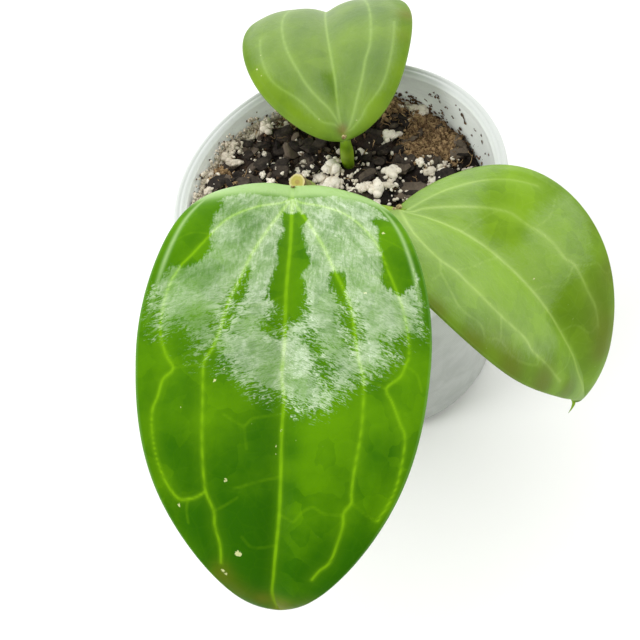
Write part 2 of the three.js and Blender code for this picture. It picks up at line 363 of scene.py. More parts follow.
def placed(tree):
    return addNode(tree, "TexCoord").outputs["Object"]


def raised(tree, height, depth, strength=1.0, under=None):
    # relief from a height, over another relief if there is one
    feeds = {"Height": height, "Distance": depth, "Strength": strength}
    if under is not None:
        feeds["Normal"] = under
    return addNode(tree, "Bump", feeds).outputs[0]


def dress(tree, skin, colour, normal):
    # give the material its colour and its relief
    tree.links.new(colour, skin.inputs["Base Color"])
    tree.links.new(normal, skin.inputs["Normal"])


# The leaves. Angles in degrees, heading 0 along +X, half widths from base to tip.
# Along a blade droop and tipCurl bend it down and turn bends it sideways. Across it, fold is the slope
# of each side at the middle line and camber how much it rounds over. roll and twist tip it to a side.
# A place on a blade is two numbers: along it from 0 to 1 and across it from -1 to 1.
frontLeaf = dict(
    name="front_leaf", slot="dark_leaf", base=(-10.4, -22.3, 119.9), length=114, heading=-98, turn=-22,
    pitch=31, droop=62.5, droopPower=0.66, tipCurl=60, roll=-17.5, twist=6, fold=18.5, camber=30,
    left=[45.5, 40.5, 35, 32.5, 30, 23, 13.5], right=[46, 40, 35, 33, 30, 20, 11],
    stalk=[
        (-7.6, -12.6, 105.2), (-9, -18.4, 106.8), (-10.4, -22.6, 111), (-10.8, -23.3, 116.5),
        (-10.6, -24.6, 119.7)],
    stalkRadius=[1.9, 1.8, 1.8, 1.9, 1.5],
    # each vein: half width at its start and end, then the places it runs through
    veins=[
        (0.42, 0.22, [
            (0.03, 0), (0.17, 0), (0.3, 0), (0.4, -0.02), (0.47, -0.01), (0.515, -0.015), (0.545, 0.015),
            (0.583, 0.015), (0.633, 0.035), (0.693, 0.055), (0.75, 0.045), (0.8, 0.015), (0.85, -0.055),
            (0.93, -0.05)]),
        (0.26, 0.14, [
            (0.16, -0.01), (0.18, -0.045), (0.245, -0.14), (0.3, -0.23), (0.35, -0.31), (0.39, -0.36),
            (0.422, -0.41), (0.465, -0.45), (0.49, -0.49), (0.51, -0.54), (0.555, -0.54), (0.6, -0.55),
            (0.633, -0.56), (0.667, -0.57), (0.692, -0.54), (0.712, -0.57), (0.733, -0.58), (0.752, -0.62),
            (0.77, -0.69)]),
        (0.26, 0.14, [
            (0.16, 0.01), (0.2, 0.065), (0.282, 0.2), (0.328, 0.28), (0.368, 0.34), (0.4, 0.4),
            (0.43, 0.45), (0.457, 0.47), (0.49, 0.5), (0.52, 0.55), (0.58, 0.58), (0.628, 0.59),
            (0.658, 0.62), (0.668, 0.64), (0.683, 0.61), (0.698, 0.64), (0.72, 0.66), (0.757, 0.69),
            (0.777, 0.62), (0.795, 0.59)]),
        (0.2, 0.15, [
            (0.16, -0.03), (0.188, -0.12), (0.228, -0.37), (0.275, -0.57), (0.323, -0.67), (0.353, -0.74),
            (0.375, -0.8), (0.41, -0.84), (0.468, -0.84), (0.5, -0.79), (0.517, -0.74), (0.532, -0.81),
            (0.55, -0.84), (0.572, -0.89), (0.6, -0.905), (0.64, -0.9), (0.673, -0.85), (0.677, -0.71),
            (0.667, -0.57)]),
        (0.2, 0.15, [
            (0.16, 0.03), (0.183, 0.11), (0.215, 0.35), (0.243, 0.51), (0.277, 0.61), (0.32, 0.69),
            (0.367, 0.73), (0.4, 0.77), (0.433, 0.81), (0.487, 0.84), (0.5, 0.82), (0.512, 0.8),
            (0.53, 0.71), (0.545, 0.76), (0.57, 0.84), (0.585, 0.89), (0.618, 0.92), (0.655, 0.94),
            (0.69, 0.92)])],
    crossVeins=[
        (0.13, 0.13, [(0.517, -0.74), (0.513, -0.64), (0.511, -0.54)]),
        (0.13, 0.13, [(0.52, 0.55), (0.525, 0.65), (0.53, 0.71)]),
        (0.1, 0.07, [(0.5, 0.82), (0.505, 0.87), (0.512, 0.91), (0.53, 0.95)]),
        (0.13, 0.09, [(0.668, 0.64), (0.673, 0.69), (0.683, 0.8), (0.69, 0.9)]),
        (0.08, 0.08, [
            (0.693, 0.06), (0.697, 0.14), (0.7, 0.2), (0.685, 0.27), (0.678, 0.34), (0.685, 0.45),
            (0.685, 0.61)]),
        (0.08, 0.05, [
            (0.562, 0.015), (0.568, -0.12), (0.573, -0.21), (0.582, -0.26), (0.578, -0.32), (0.57, -0.4)]),
        (0.07, 0.04, [(0.582, -0.26), (0.61, -0.24)]),
        (0.07, 0.04, [(0.642, 0.035), (0.648, -0.12), (0.655, -0.24), (0.66, -0.34)]),
        (0.07, 0.04, [(0.74, 0.035), (0.743, -0.12), (0.74, -0.26), (0.726, -0.33)]),
        (0.06, 0.04, [(0.692, -0.54), (0.682, -0.42), (0.672, -0.32)]),
        (0.09, 0.05, [(0.678, -0.73), (0.687, -0.77), (0.71, -0.82)]),
        (0.07, 0.04, [(0.468, -0.84), (0.474, -0.92)]),
        (0.06, 0.04, [(0.4, -0.01), (0.42, -0.16), (0.43, -0.3), (0.43, -0.41)]),
        (0.06, 0.04, [(0.36, 0.33), (0.37, 0.46), (0.38, 0.6), (0.39, 0.75)]),
        (0.06, 0.04, [(0.3, 0.65), (0.31, 0.78), (0.33, 0.92)]),
        (0.06, 0.04, [(0.31, -0.66), (0.31, -0.8), (0.33, -0.93)])],
    # where the crinkled waxy film lies, and the smooth windows in it
    film=[
        (0.468, -0.9), (0.487, -0.71), (0.505, -0.56), (0.5, -0.48), (0.512, -0.43), (0.525, -0.34),
        (0.533, -0.27), (0.54, -0.16), (0.546, -0.09), (0.545, 0), (0.552, 0.06), (0.557, 0.14),
        (0.557, 0.26), (0.55, 0.37), (0.536, 0.45), (0.525, 0.52), (0.518, 0.56), (0.515, 0.62),
        (0.505, 0.68), (0.494, 0.76), (0.487, 0.72), (0.48, 0.7), (0.478, 0.76), (0.472, 0.83),
        (0.46, 0.89), (0.417, 0.92), (0.378, 0.95), (0.333, 0.9), (0.282, 0.89), (0.218, 0.84),
        (0.187, 0.6), (0.155, 0.12), (0.155, -0.12), (0.17, -0.5), (0.2, -0.74), (0.28, -0.88),
        (0.347, -0.95), (0.402, -0.97), (0.44, -0.96)],
    windows=[
        [
            (0.225, -0.095), (0.302, -0.07), (0.355, -0.095), (0.392, -0.14), (0.412, -0.15),
            (0.42, -0.065), (0.445, -0.15), (0.457, -0.17), (0.455, -0.02), (0.442, 0.12), (0.42, 0.14),
            (0.397, 0.12), (0.372, 0.1), (0.352, 0.14), (0.313, 0.13), (0.263, 0.1), (0.222, 0.085)],
        [
            (0.23, -0.71), (0.222, -0.87), (0.28, -0.87), (0.325, -0.91), (0.352, -0.87), (0.352, -0.8),
            (0.35, -0.73), (0.335, -0.67), (0.303, -0.69), (0.263, -0.73)],
        [
            (0.25, 0.76), (0.26, 0.91), (0.29, 0.95), (0.333, 0.94), (0.385, 0.9), (0.4, 0.8),
            (0.385, 0.72), (0.328, 0.71), (0.283, 0.73), (0.262, 0.7)],
        [
            (0.375, -0.3), (0.39, -0.335), (0.415, -0.37), (0.44, -0.4), (0.457, -0.43), (0.458, -0.4),
            (0.438, -0.36), (0.405, -0.315)],
        [
            (0.375, 0.32), (0.407, 0.34), (0.43, 0.4), (0.455, 0.43), (0.483, 0.46), (0.463, 0.49),
            (0.437, 0.46), (0.412, 0.41), (0.38, 0.36)],
        [
            (0.462, 0.14), (0.485, 0.2), (0.515, 0.27), (0.527, 0.32), (0.512, 0.34), (0.485, 0.27),
            (0.463, 0.18)]],
    # thinner stretches of the film: along, across, reach, how much
    worn=[
        (0.258, -0.43, 5, 0.75), (0.29, -0.33, 3, 0.3), (0.27, -0.66, 6, 0.25), (0.245, 0.12, 2.5, 0.7),
        (0.165, -0.36, 4, 0.25), (0.155, 0.3, 4, 0.25), (0.22, -0.32, 4, 0.35), (0.318, -0.11, 3, 0.3),
        (0.355, -0.45, 7, 0.4), (0.375, -0.8, 8, 0.6), (0.39, -0.62, 10, 0.38), (0.455, -0.13, 3, 0.5),
        (0.465, -0.65, 6, 1.1), (0.515, -0.25, 6, 0.45), (0.445, -0.9, 5, 0.5), (0.495, -0.45, 4, 0.6),
        (0.468, 0.64, 3, 0.5), (0.47, 0.83, 4, 0.5), (0.315, -0.35, 4, 0.25), (0.54, -0.05, 4, 0.4),
        (0.35, 0.15, 3, 0.3), (0.375, 0.46, 5, 0.45), (0.3, 0.48, 5, 0.2), (0.395, 0.72, 5, 0.35),
        (0.447, 0.38, 3.5, 0.4), (0.523, 0.3, 4, 0.4), (0.526, 0.48, 4, 0.5), (0.24, 0.45, 12, -0.3),
        (0.385, -0.3, 4, -0.2), (0.41, 0.14, 3, 0.2), (0.53, 0.37, 5, -0.2)],
    # painted light and shade spots, and warm tints: along, across, reach, how much lighter as painted light
    # (less than nothing: darker, as painted shade) and how much warmer
    lightShadeAndTints=[
        (0.702, -0.14, 10, -0.45, 0), (0.783, -0.32, 11, -0.8, 0), (0.675, -0.42, 9, -0.4, 0),
        (0.657, 0.13, 4, -0.4, 0), (0.795, 0.84, 8, -0.7, 0), (0.602, 0.77, 6, -0.3, 0),
        (0.623, -0.76, 7, -0.35, 0), (0.61, -0.13, 7, -0.45, 0), (0.735, 0.81, 6, -0.4, 0),
        (0.607, 0.095, 3.5, -0.4, 0), (0.735, -0.3, 9, -0.4, 0), (0.72, -0.7, 8, -0.4, 0),
        (0.632, 0.23, 6, 0.2, 0), (0.69, 0.27, 6, 0.3, 0), (0.757, 0.42, 6, 0.15, 0),
        (0.58, 0.36, 9, 0.4, 0), (0.642, 0.45, 9, 0.15, 0), (0.577, -0.39, 9, 0.3, 0),
        (0.58, -0.69, 7, 0.15, 0), (0.56, 0.77, 7, 0.25, 0), (0.4, 0, 9, 0.2, 0), (0.77, 0.55, 7, -0.3, 0),
        (0.3, 0.85, 8, 0.3, 0), (0.3, -0.85, 8, 0.2, 0), (0.5, -0.85, 8, 0.2, 0), (0.45, -0.5, 12, 0.1, 0),
        (0.5, 0.95, 7, 0.4, 0), (0.79, -0.79, 4, 0, 0.5), (0.832, -0.72, 4, -0.1, 0.4),
        (0.86, -0.34, 3, 0, 0.5), (0.885, 0.29, 3.5, 0, 0.5), (0.87, 0.9, 4, 0, 0.3), (0.97, 0, 3, 0, 0.6)],
    # pale flakes: along, across, size
    specks=[
        (0.53, -0.46, 0.9), (0.565, -0.69, 0.45), (0.583, 0.01, 0.6), (0.603, -0.025, 0.6),
        (0.613, -0.015, 0.45), (0.65, -0.4, 0.8), (0.752, -0.42, 1.2), (0.753, -0.395, 1.0),
        (0.784, -0.73, 0.8), (0.79, -0.71, 0.6), (0.687, -0.84, 0.7), (0.602, 0.34, 0.4),
        (0.293, 0.77, 0.9), (0.407, 0.55, 0.8), (0.515, -0.41, 0.6)],
    # corky lumps at the base: along, across, half size
    callus=[(0.012, -0.1, 0.5), (0.02, 0.15, 0.4)], relief=0.36,
    # rows along the blade, points over it and points under it
    detail=(310, 180, 40),
    # the material: the flesh and its veins, then the film. How pale the film makes the flesh and its veins is
    # partly the film's own whitish tint and partly a painted highlight of its glare. veil is what is left of
    # the film where it is torn, tear and fray how ragged it is near the stalk and far off
    look=dict(
        deep=(44, 98, 0), fresh=(92, 144, 0), vein=(126, 178, 12), warm=(122, 116, 30), pale=(146, 188, 92),
        edge=(128, 168, 96), filmAndGlareVein=(176, 214, 100), veinLine=0.74, netLine=0.2, band=0.9, cells=0.02,
        patch=0.14, glow=0.1, filmTintAndGlare=0.5, film=0.86, filmRoughness=0.3, filmIndex=4.1, veil=0.004, tear=0.16,
        fray=0.9, crisp=2.4, furrows=0.42, wear=0.31, folds=0.0002, crinkle=0.0005, shine=0.02,
        roughness=0.26,
    ),
    seed=31,
)

rightLeaf = dict(
    name="right_leaf", slot="pale_leaf", base=(13.6, -27.1, 103.1), length=96, heading=-47, turn=-23,
    pitch=25, droop=124, droopPower=0.77, tipCurl=30, roll=-25, twist=27, fold=24, camber=31,
    left=[47.5, 41, 35, 26, 13, 1.5, 1], right=[47.5, 41, 34.5, 25, 12, 1.5, 1],
    stalk=[
        (-7.6, -12.6, 105.2), (0, -17.5, 103.2), (8, -23.2, 101.6), (13.1, -27, 101.9),
        (15.6, -29.4, 103.6)],
    hook=[
        (44.6, -67.4, 47.6), (44.6, -68.6, 46.7), (44.3, -69.4, 46.1), (43.3, -70.4, 45.5),
        (41.9, -71.3, 44.9)],
    stalkRadius=[1.9, 1.8, 1.7, 1.9, 1.4],
    veins=[
        (0.34, 0.16, [
            (0.03, 0), (0.08, -0.08), (0.13, -0.15), (0.193, -0.085), (0.252, -0.03), (0.297, 0.005),
            (0.345, 0.015), (0.42, 0.01), (0.468, 0.005), (0.52, -0.01), (0.573, -0.06), (0.615, -0.085),
            (0.67, -0.18), (0.75, -0.15)]),
        (0.24, 0.1, [
            (0.08, -0.08), (0.125, -0.1), (0.168, 0.075), (0.222, 0.17), (0.263, 0.24), (0.3, 0.31),
            (0.335, 0.38), (0.355, 0.41), (0.383, 0.41), (0.413, 0.44), (0.44, 0.46), (0.47, 0.46),
            (0.492, 0.51), (0.537, 0.52), (0.575, 0.56), (0.605, 0.55)]),
        (0.24, 0.1, [
            (0.08, -0.08), (0.125, -0.2), (0.167, -0.31), (0.225, -0.46), (0.265, -0.53), (0.317, -0.57),
            (0.345, -0.55), (0.377, -0.56), (0.44, -0.575), (0.495, -0.565), (0.522, -0.61), (0.557, -0.6),
            (0.62, -0.66)]),
        (0.14, 0.05, [(0.1, -0.05), (0.16, 0.25), (0.22, 0.5), (0.3, 0.72), (0.36, 0.82)])],
    crossVeins=[
        (0.1, 0.06, [(0.317, -0.57), (0.33, -0.68), (0.33, -0.8)]),
        (0.1, 0.06, [
            (0.33, -0.68), (0.36, -0.76), (0.39, -0.82), (0.423, -0.8), (0.442, -0.86), (0.463, -0.78),
            (0.497, -0.82), (0.542, -0.71), (0.532, -0.6)]),
        (0.08, 0.06, [(0.443, -0.59), (0.463, -0.78)]),
        (0.07, 0.04, [(0.385, 0.01), (0.37, -0.24), (0.36, -0.41), (0.345, -0.55)]),
        (0.07, 0.04, [(0.47, 0.01), (0.48, 0.14), (0.5, 0.28), (0.49, 0.5)]),
        (0.07, 0.04, [(0.492, 0.51), (0.51, 0.66), (0.52, 0.78), (0.54, 0.84), (0.55, 0.96)]),
        (0.06, 0.03, [(0.56, -0.03), (0.57, 0.2), (0.6, 0.35), (0.6, 0.54)]),
        (0.06, 0.03, [(0.3, 0), (0.31, 0.14), (0.335, 0.38)]),
        (0.06, 0.03, [(0.4, 0.42), (0.41, 0.6), (0.4, 0.8)]),
        (0.06, 0.03, [(0.6, -0.07), (0.61, -0.3), (0.6, -0.63)])],
    film=[
        (0.08, -0.9), (0.3, -0.98), (0.42, -0.9), (0.5, -0.8), (0.56, -0.5), (0.56, -0.2), (0.52, -0.05),
        (0.5, 0.3), (0.51, 0.7), (0.46, 0.95), (0.41, 0.97), (0.3, 0.98), (0.2, 0.98), (0.06, 0.8),
        (0.03, 0)],
    windows=[
        [
            (0.273, 0.67), (0.307, 0.26), (0.342, 0.1), (0.37, 0.12), (0.395, 0.16), (0.4, 0.26),
            (0.395, 0.42), (0.382, 0.51), (0.392, 0.75), (0.41, 0.99), (0.362, 0.98), (0.31, 0.95)]],
    worn=[(0.43, -0.3, 8, 0.4), (0.3, -0.8, 6, 0.4), (0.25, 0.9, 8, 0.3)],
    # painted light and shade spots, and warm tints: along, across, reach, how much lighter (less than
    # nothing: darker) and how much warmer
    lightShadeAndTints=[
        (0.37, 0.45, 9, 0.15, 0), (0.35, 0.75, 8, 0.15, 0), (0.34, -0.15, 11, 0.35, 0),
        (0.24, -0.3, 9, 0.3, 0), (0.44, -0.2, 9, 0.4, 0), (0.57, 0.35, 9, -0.2, 0.15),
        (0.5, -0.2, 8, 0.2, 0), (0.4, 0.32, 4, -0.45, 0), (0.55, 0.6, 8, -0.35, 0.25),
        (0.36, -0.99, 4, -0.5, 0.9), (0.43, -1, 5, -0.8, 0.9), (0.51, -0.95, 6, -0.7, 0.9),
        (0.58, -0.85, 6, -0.5, 0.9), (0.66, -0.72, 5, -0.3, 0.6), (0.62, 0.72, 7, -0.4, 0.7),
        (0.55, 0.98, 6, -0.3, 0.6), (0.48, 1, 5, -0.1, 0.4), (0.66, 0.6, 5, -0.3, 0.7),
        (0.46, -0.8, 6, -0.2, 0.4), (0.425, 0.215, 9, 0.65, 0), (0.29, 0.06, 7, 0.3, 0)],
    specks=[
        (0.35, -0.51, 0.5), (0.258, -0.26, 0.35), (0.457, 0.1, 0.7), (0.438, -0.075, 0.6),
        (0.443, 0.13, 0.4), (0.45, -0.8, 0.4), (0.453, -0.93, 0.4), (0.555, 0.2, 0.4)],
    callus=[(0.03, 0.1, 0.95), (0.05, -0.25, 0.7), (0.014, 0.2, 0.8)], relief=0.22, detail=(250, 150, 40),
    look=dict(
        deep=(90, 128, 4), fresh=(128, 169, 14), vein=(158, 190, 84), warm=(98, 112, 14),
        pale=(150, 184, 92), edge=(122, 152, 66), filmAndGlareVein=(176, 206, 104), veinLine=0.43, netLine=0.24,
        band=0.2, cells=0.05, patch=0.13, glow=0.14, filmTintAndGlare=0, film=0.66, filmRoughness=0.5, filmIndex=1.9,
        veil=0.04, tear=0.2, fray=0.3, crisp=0.6, furrows=0.15, wear=0.1, folds=0.0002, crinkle=0.0004,
        shine=0.12, roughness=0.4,
    ),
    seed=32,
)

backLeaf = dict(
    name="back_leaf", slot="pale_leaf", base=(7.2, 13.6, 92.3), length=83.5, heading=80.7, turn=2, pitch=35,
    droop=98, droopPower=1, tipCurl=0, roll=2.5, twist=5, fold=24, camber=43,
    left=[24.5, 25, 27.5, 27, 23.5, 21, 12], right=[26.5, 27, 27, 27.5, 25.5, 22, 12],
    stalk=[(5.9, 18.6, 54), (6.2, 17, 78), (6.8, 14.4, 87), (7.2, 13.9, 91.2), (7.5, 16, 92.8)],
    stalkRadius=[1.3, 1.35, 1.55, 2.1, 1.4],
    veins=[
        (0.34, 0.2, [
            (0.05, 0), (0.13, 0.03), (0.18, 0.04), (0.255, 0.0), (0.313, -0.03), (0.363, -0.025),
            (0.462, -0.01), (0.558, 0.0), (0.65, 0), (0.95, 0)]),
        (0.2, 0.1, [
            (0.1, 0.04), (0.162, 0.1), (0.215, 0.18), (0.26, 0.3), (0.302, 0.38), (0.352, 0.43),
            (0.392, 0.47), (0.443, 0.5), (0.542, 0.52), (0.7, 0.48), (0.85, 0.35)]),
        (0.2, 0.1, [
            (0.1, -0.08), (0.133, -0.24), (0.202, -0.32), (0.248, -0.37), (0.292, -0.42), (0.342, -0.46),
            (0.383, -0.51), (0.467, -0.53), (0.66, -0.52), (0.82, -0.38)]),
        (0.06, 0.02, [
            (0.12, 0.08), (0.153, 0.2), (0.182, 0.45), (0.245, 0.54), (0.272, 0.6), (0.342, 0.78),
            (0.398, 0.79), (0.47, 0.77)]),
        (0.06, 0.02, [
            (0.1, -0.14), (0.115, -0.34), (0.153, -0.48), (0.197, -0.55), (0.228, -0.65), (0.272, -0.74),
            (0.36, -0.78), (0.45, -0.79)])],
    crossVeins=[
        (0.06, 0.03, [(0.3, -0.02), (0.31, 0.2), (0.3, 0.38)]),
        (0.06, 0.03, [(0.38, -0.01), (0.37, -0.26), (0.38, -0.5)]),
        (0.06, 0.03, [(0.48, 0), (0.47, 0.26), (0.48, 0.51)]),
        (0.06, 0.03, [(0.58, 0), (0.57, -0.26), (0.58, -0.53)]),
        (0.06, 0.03, [(0.36, 0.44), (0.35, 0.6), (0.37, 0.78)]),
        (0.06, 0.03, [(0.66, 0), (0.68, 0.26), (0.66, 0.5)])],
    film=[
        (0.1, -0.3), (0.16, -0.6), (0.24, -0.8), (0.35, -0.86), (0.5, -0.88), (0.7, -0.88), (0.9, -0.5),
        (0.95, 0), (0.9, 0.5), (0.7, 0.9), (0.5, 0.96), (0.4, 0.9), (0.33, 0.76), (0.26, 0.68), (0.2, 0.6),
        (0.12, 0.4), (0.09, 0)],
    windows=[[(0.24, 0.02), (0.3, -0.01), (0.34, 0.0), (0.33, 0.13), (0.28, 0.1)]],
    worn=[(0.15, 0.3, 6, 0.3), (0.2, -0.7, 5, 0.3), (0.3, 0.6, 6, 0.3)],
    # painted light and shade spots, and warm tints: along, across, reach, how much lighter (less than
    # nothing: darker) and how much warmer
    lightShadeAndTints=[
        (0.36, 0.9, 5, 0.4, 0), (0.3, 0.82, 5, 0.4, 0), (0.22, 0.82, 5, 0.3, 0), (0.16, 0.7, 6, 0.2, 0),
        (0.18, 0.4, 7, 0.3, 0), (0.16, -0.7, 5, 0.3, 0), (0.3, -0.92, 4, 0.4, 0.15),
        (0.4, -0.9, 5, 0.3, 0.3), (0.48, -0.95, 5, 0.1, 0.6), (0.29, 0.055, 3.5, -0.7, 0),
        (0.322, 0.12, 4, -0.4, 0), (0.395, 0.12, 3, -0.2, 0), (0.35, -0.56, 6, -0.35, 0),
        (0.42, -0.25, 7, 0.3, 0), (0.12, 0.0, 2.5, -0.9, 1), (0.378, 0.155, 8, 0.45, 0),
        (0.177, -0.735, 6, 0.5, 0), (0.513, -0.535, 7, -0.6, 0)],
    specks=[
        (0.187, 0.47, 0.5), (0.15, -0.4, 0.45), (0.38, 0.88, 0.8), (0.36, 0.86, 0.5), (0.418, 0.79, 0.5)],
    callus=[(0.045, 0.05, 0.8), (0.04, -0.15, 0.6), (0.06, 0.0, 0.5)], relief=0.16, detail=(220, 148, 36),
    look=dict(
        deep=(80, 116, 2), fresh=(116, 150, 6), vein=(146, 180, 70), warm=(112, 100, 30),
        pale=(132, 160, 90), edge=(132, 160, 84), filmAndGlareVein=(156, 188, 90), veinLine=0.36, netLine=0.06,
        band=0.1, cells=0.03, patch=0.1, glow=0.12, filmTintAndGlare=0, film=0.62, filmRoughness=0.55, filmIndex=1.9,
        veil=0.08, tear=0.15, fray=0.2, crisp=0.8, furrows=0.1, wear=0.06, folds=0.0002, crinkle=0.0004,
        shine=0.12, roughness=0.42,
    ),
    seed=33,
)

blade = dict(
    thickness=1.5,
    margin=0.9,
    foldRound=0.045,  # the fold along the middle is rounded over this share of the side
    edgeSteps=5,
    pillow=(3.4, 2.2),  # how far from a vein and from a cross vein the top is fully swollen
    waves=[(17, 0.5), (7, 0.16)],  # size and share of the uneven waves in the top
    waveHeight=0.35,
    fade=(4, 0.05),  # the relief fades out this near the edge, and over this share of the length at the ends
    groove=(0.07, 0.5),  # depth and half width of the groove along a vein
    midrib=(1.1, 1.3),  # height and half width under the blade, here and in the next two
    rib=(0.32, 0.7),
    crossRib=(0.12, 0.5),
    shoulder=(0.145, 0.075),  # where the pale edge round the base ends, and how much further at the sides
    stalkSteps=70,
    stalkAround=28,
    hookSteps=24,
    hookAround=12,
    underside=(138, 168, 96),
    dots=(180, 200, 120),
    flakes=(206, 212, 150),
    stalk=(96, 134, 4),
    stalkLight=(142, 176, 26),
    callus=(116, 92, 52),
    callusLight=(206, 194, 140),
)


def filmNodes(tree, look, place):
    # the waxy film: how thickly it lies, its broad folds and its fine creases
    x, along = addNode(tree, "SeparateXYZ", {0: place}).outputs[:2]
    fromRib = sums(tree, "ABSOLUTE", x)
    swept = addNode(tree, "CombineXYZ", {0: x, 1: minus(tree, along, times(tree, fromRib, 0.4))}).outputs[0]
    fanned = addNode(tree, "CombineXYZ", {0: sums(tree, "DIVIDE", x, plus(tree, along, 8.0)),
                                          1: times(tree, along, 0.016)}).outputs[0]
    # creases run along the blade near its base and across it further on
    down = grain(tree, place, 0.75, 2.4, 0.5, stretch=(1.7, 0.42, 1.0), warp=1.2)
    across = grain(tree, swept, 0.8, 2.6, 0.55, stretch=(0.5, 1.7, 1.0), warp=1.8)
    creases = addNode(tree, "Mix", {0: spread(tree, along, 32, 48), 2: down, 3: across},
                      data_type="FLOAT").outputs[0]
    strand = spread(tree, creases, 0.38, 0.62)
    dents = grain(tree, swept, 0.62, 4.0, 0.62, stretch=(0.8, 1.15, 1.0), warp=2.6)
    dents = spread(tree, dents, 0.36, 0.64)
    furrow = spread(tree, grain(tree, fanned, 9.0, 3.0, 0.55, warp=0.6), 0.36, 0.6)
    crumple = spread(tree, grain(tree, place, 0.2, 3.0, 0.55, warp=0.8), 0.35, 0.65)
    # its edge is torn, most of all the edge away from the stalk
    worn = marked(tree, "worn")
    fray = spread(tree, along, 34, 50, look["tear"], look["fray"])
    ragged = plus(tree, minus(tree, strand, 0.5), times(tree, minus(tree, dents, 0.5), 0.75),
                  times(tree, minus(tree, crumple, 0.5), 0.6))
    torn = plus(tree, marked(tree, "film"), times(tree, ragged, fray))
    torn = minus(tree, torn, plus(tree, times(tree, worn, 1.3), 0.1))
    torn = times(tree, torn, spread(tree, fray, 0.2, 0.8, look["crisp"], 0.85))
    cover = times(tree, spread(tree, torn, -0.5, 0.5),
                  spread(tree, furrow, 0.0, 0.8, 1 - look["furrows"], 1.0),
                  spread(tree, strand, 0.0, 0.7, 1 - look["wear"], 1.0),
                  spread(tree, dents, 0.0, 0.8, 1 - 0.8 * look["wear"], 1.0),
                  spread(tree, crumple, 0.0, 0.8, 1 - 0.7 * look["wear"], 1.0),
                  minus(tree, 1.0, times(tree, worn, 0.7)))
    folds = plus(tree, furrow, times(tree, crumple, 0.8))
    return cover, folds, plus(tree, creases, times(tree, dents, 0.5))


def toneNodes(tree, look, place, mottle):
    # clouds, spots of painted light and shade, and the meshes between the finest veins, each a little lighter
    # or darker than the next
    bent = addNode(tree, "TexNoise", {"Vector": place, "Scale": 0.3, "Detail": 2.0}).outputs["Color"]
    bent = addNode(tree, "VectorMath", {0: bent, "Scale": 3.0}, operation="SCALE").outputs[0]
    bent = addNode(tree, "VectorMath", {0: place, 1: bent}, operation="ADD").outputs[0]
    patch = addNode(tree, "SeparateXYZ", {0: cellsOf(tree, bent, 0.17, output="Color")}).outputs[0]
    # the light mark holds the spots of painted light and shade
    return plus(tree, times(tree, grain(tree, place, 0.08, 3.0, 0.5), 0.6), times(tree, mottle, 0.14),
                times(tree, marked(tree, "light"), 0.42), times(tree, minus(tree, patch, 0.5), look["patch"]))


def leafMaterial(name, look):
    material, tree, skin = startMaterial(
        name, Roughness=look["roughness"], Specular_IOR_Level=look["shine"],
        Coat_Roughness=look["filmRoughness"], Coat_IOR=look["filmIndex"])
    place = addNode(tree, "Attribute", attribute_name="place", attribute_type="GEOMETRY").outputs["Vector"]
    vein, under = marked(tree, "vein"), marked(tree, "under")
    cover, folds, creases = filmNodes(tree, look, place)
    # band: the rolled edge round the base, pale partly from a painted sheen, and a painted sheen line inside
    # the margin
    band = times(tree, marked(tree, "band"), look["band"])
    cover = sums(tree, "MAXIMUM", cover, times(tree, band, 0.55))
    mottle = grain(tree, place, 0.5, 4.0, 0.6)
    toned = spread(tree, toneNodes(tree, look, place, mottle), 0.05, 0.75)
    # paler flesh near the veins and the faint net between them, whiter under the film, partly as a painted
    # highlight of its glare
    rib = blend(tree, cover, look["vein"], look["filmAndGlareVein"])
    mesh = spread(tree, cellsOf(tree, place, 0.26, "DISTANCE_TO_EDGE", Randomness=0.9), 0.06, 0.0)
    uneven = spread(tree, grain(tree, place, 0.35, 2.0), 0.3, 0.6, 0.45, 1.0)
    netLine = times(tree, spread(tree, marked(tree, "net"), 0.5, -0.05, 0.0, look["netLine"]), uneven)
    veinLine = times(tree, spread(tree, vein, 0.3, -0.12, 0.0, look["veinLine"]),
                     spread(tree, uneven, 0.4, 1.0, 0.75, 1.0))
    chips = minus(tree, grain(tree, place, 2.4, 3.0, 0.6), 0.42)
    flake = plus(tree, marked(tree, "speck"), times(tree, chips, 1.1))
    colour = layered(
        tree, blend(tree, toned, look["deep"], look["fresh"]),
        # the film's paleness: partly its own whitish tint, partly a painted highlight of its glare
        (times(tree, cover, look["filmTintAndGlare"]), look["pale"]),
        (spread(tree, vein, 3.0, 0.0, 0.0, look["glow"]), rib),
        (spread(tree, vein, 0.8, 0.0, 0.0, 0.26), rib),
        (times(tree, mesh, look["cells"]), rib),
        (netLine, rib),
        (veinLine, rib),
        # the rolled edge and the sheen line inside the margin: painted sheen
        (band, look["pale"]),
        (spread(tree, marked(tree, "warm"), 0.0, 1.1, 0.0, 0.85), look["warm"]),
        (spread(tree, marked(tree, "margin"), 0.9, 0.0, 0.0, 0.5), look["edge"]),
        (spread(tree, cellsOf(tree, place, 0.21), 0.035, 0.02, 0.0, 0.35), blade["dots"]),
        (spread(tree, flake, 0.12, -0.08), blade["flakes"]),
        (times(tree, under, 0.62), blade["underside"]))
    relief = plus(tree, times(tree, mesh, -0.15), times(tree, mottle, 0.6))
    relief = raised(tree, relief, 0.0002, 0.4)
    dress(tree, skin, colour, relief)
    coat = plus(tree, times(tree, cover, look["film"] - look["veil"]), look["veil"])
    tree.links.new(times(tree, coat, minus(tree, 1.0, under)), skin.inputs["Coat Weight"])
    folds = raised(tree, folds, look["folds"], 1.0, relief)
    tree.links.new(raised(tree, creases, look["crinkle"], 0.5, folds), skin.inputs["Coat Normal"])
    return material


def callusMaterial(name):
    material, tree, skin = startMaterial(name, Roughness=0.7, Specular_IOR_Level=0.3)
    crust = grain(tree, placed(tree), 1400, 4.0, 0.7)
    colour = blend(tree, spread(tree, crust, 0.42, 0.62), blade["callus"], blade["callusLight"])
    dress(tree, skin, colour, raised(tree, crust, 0.0004, 0.8))
    return material


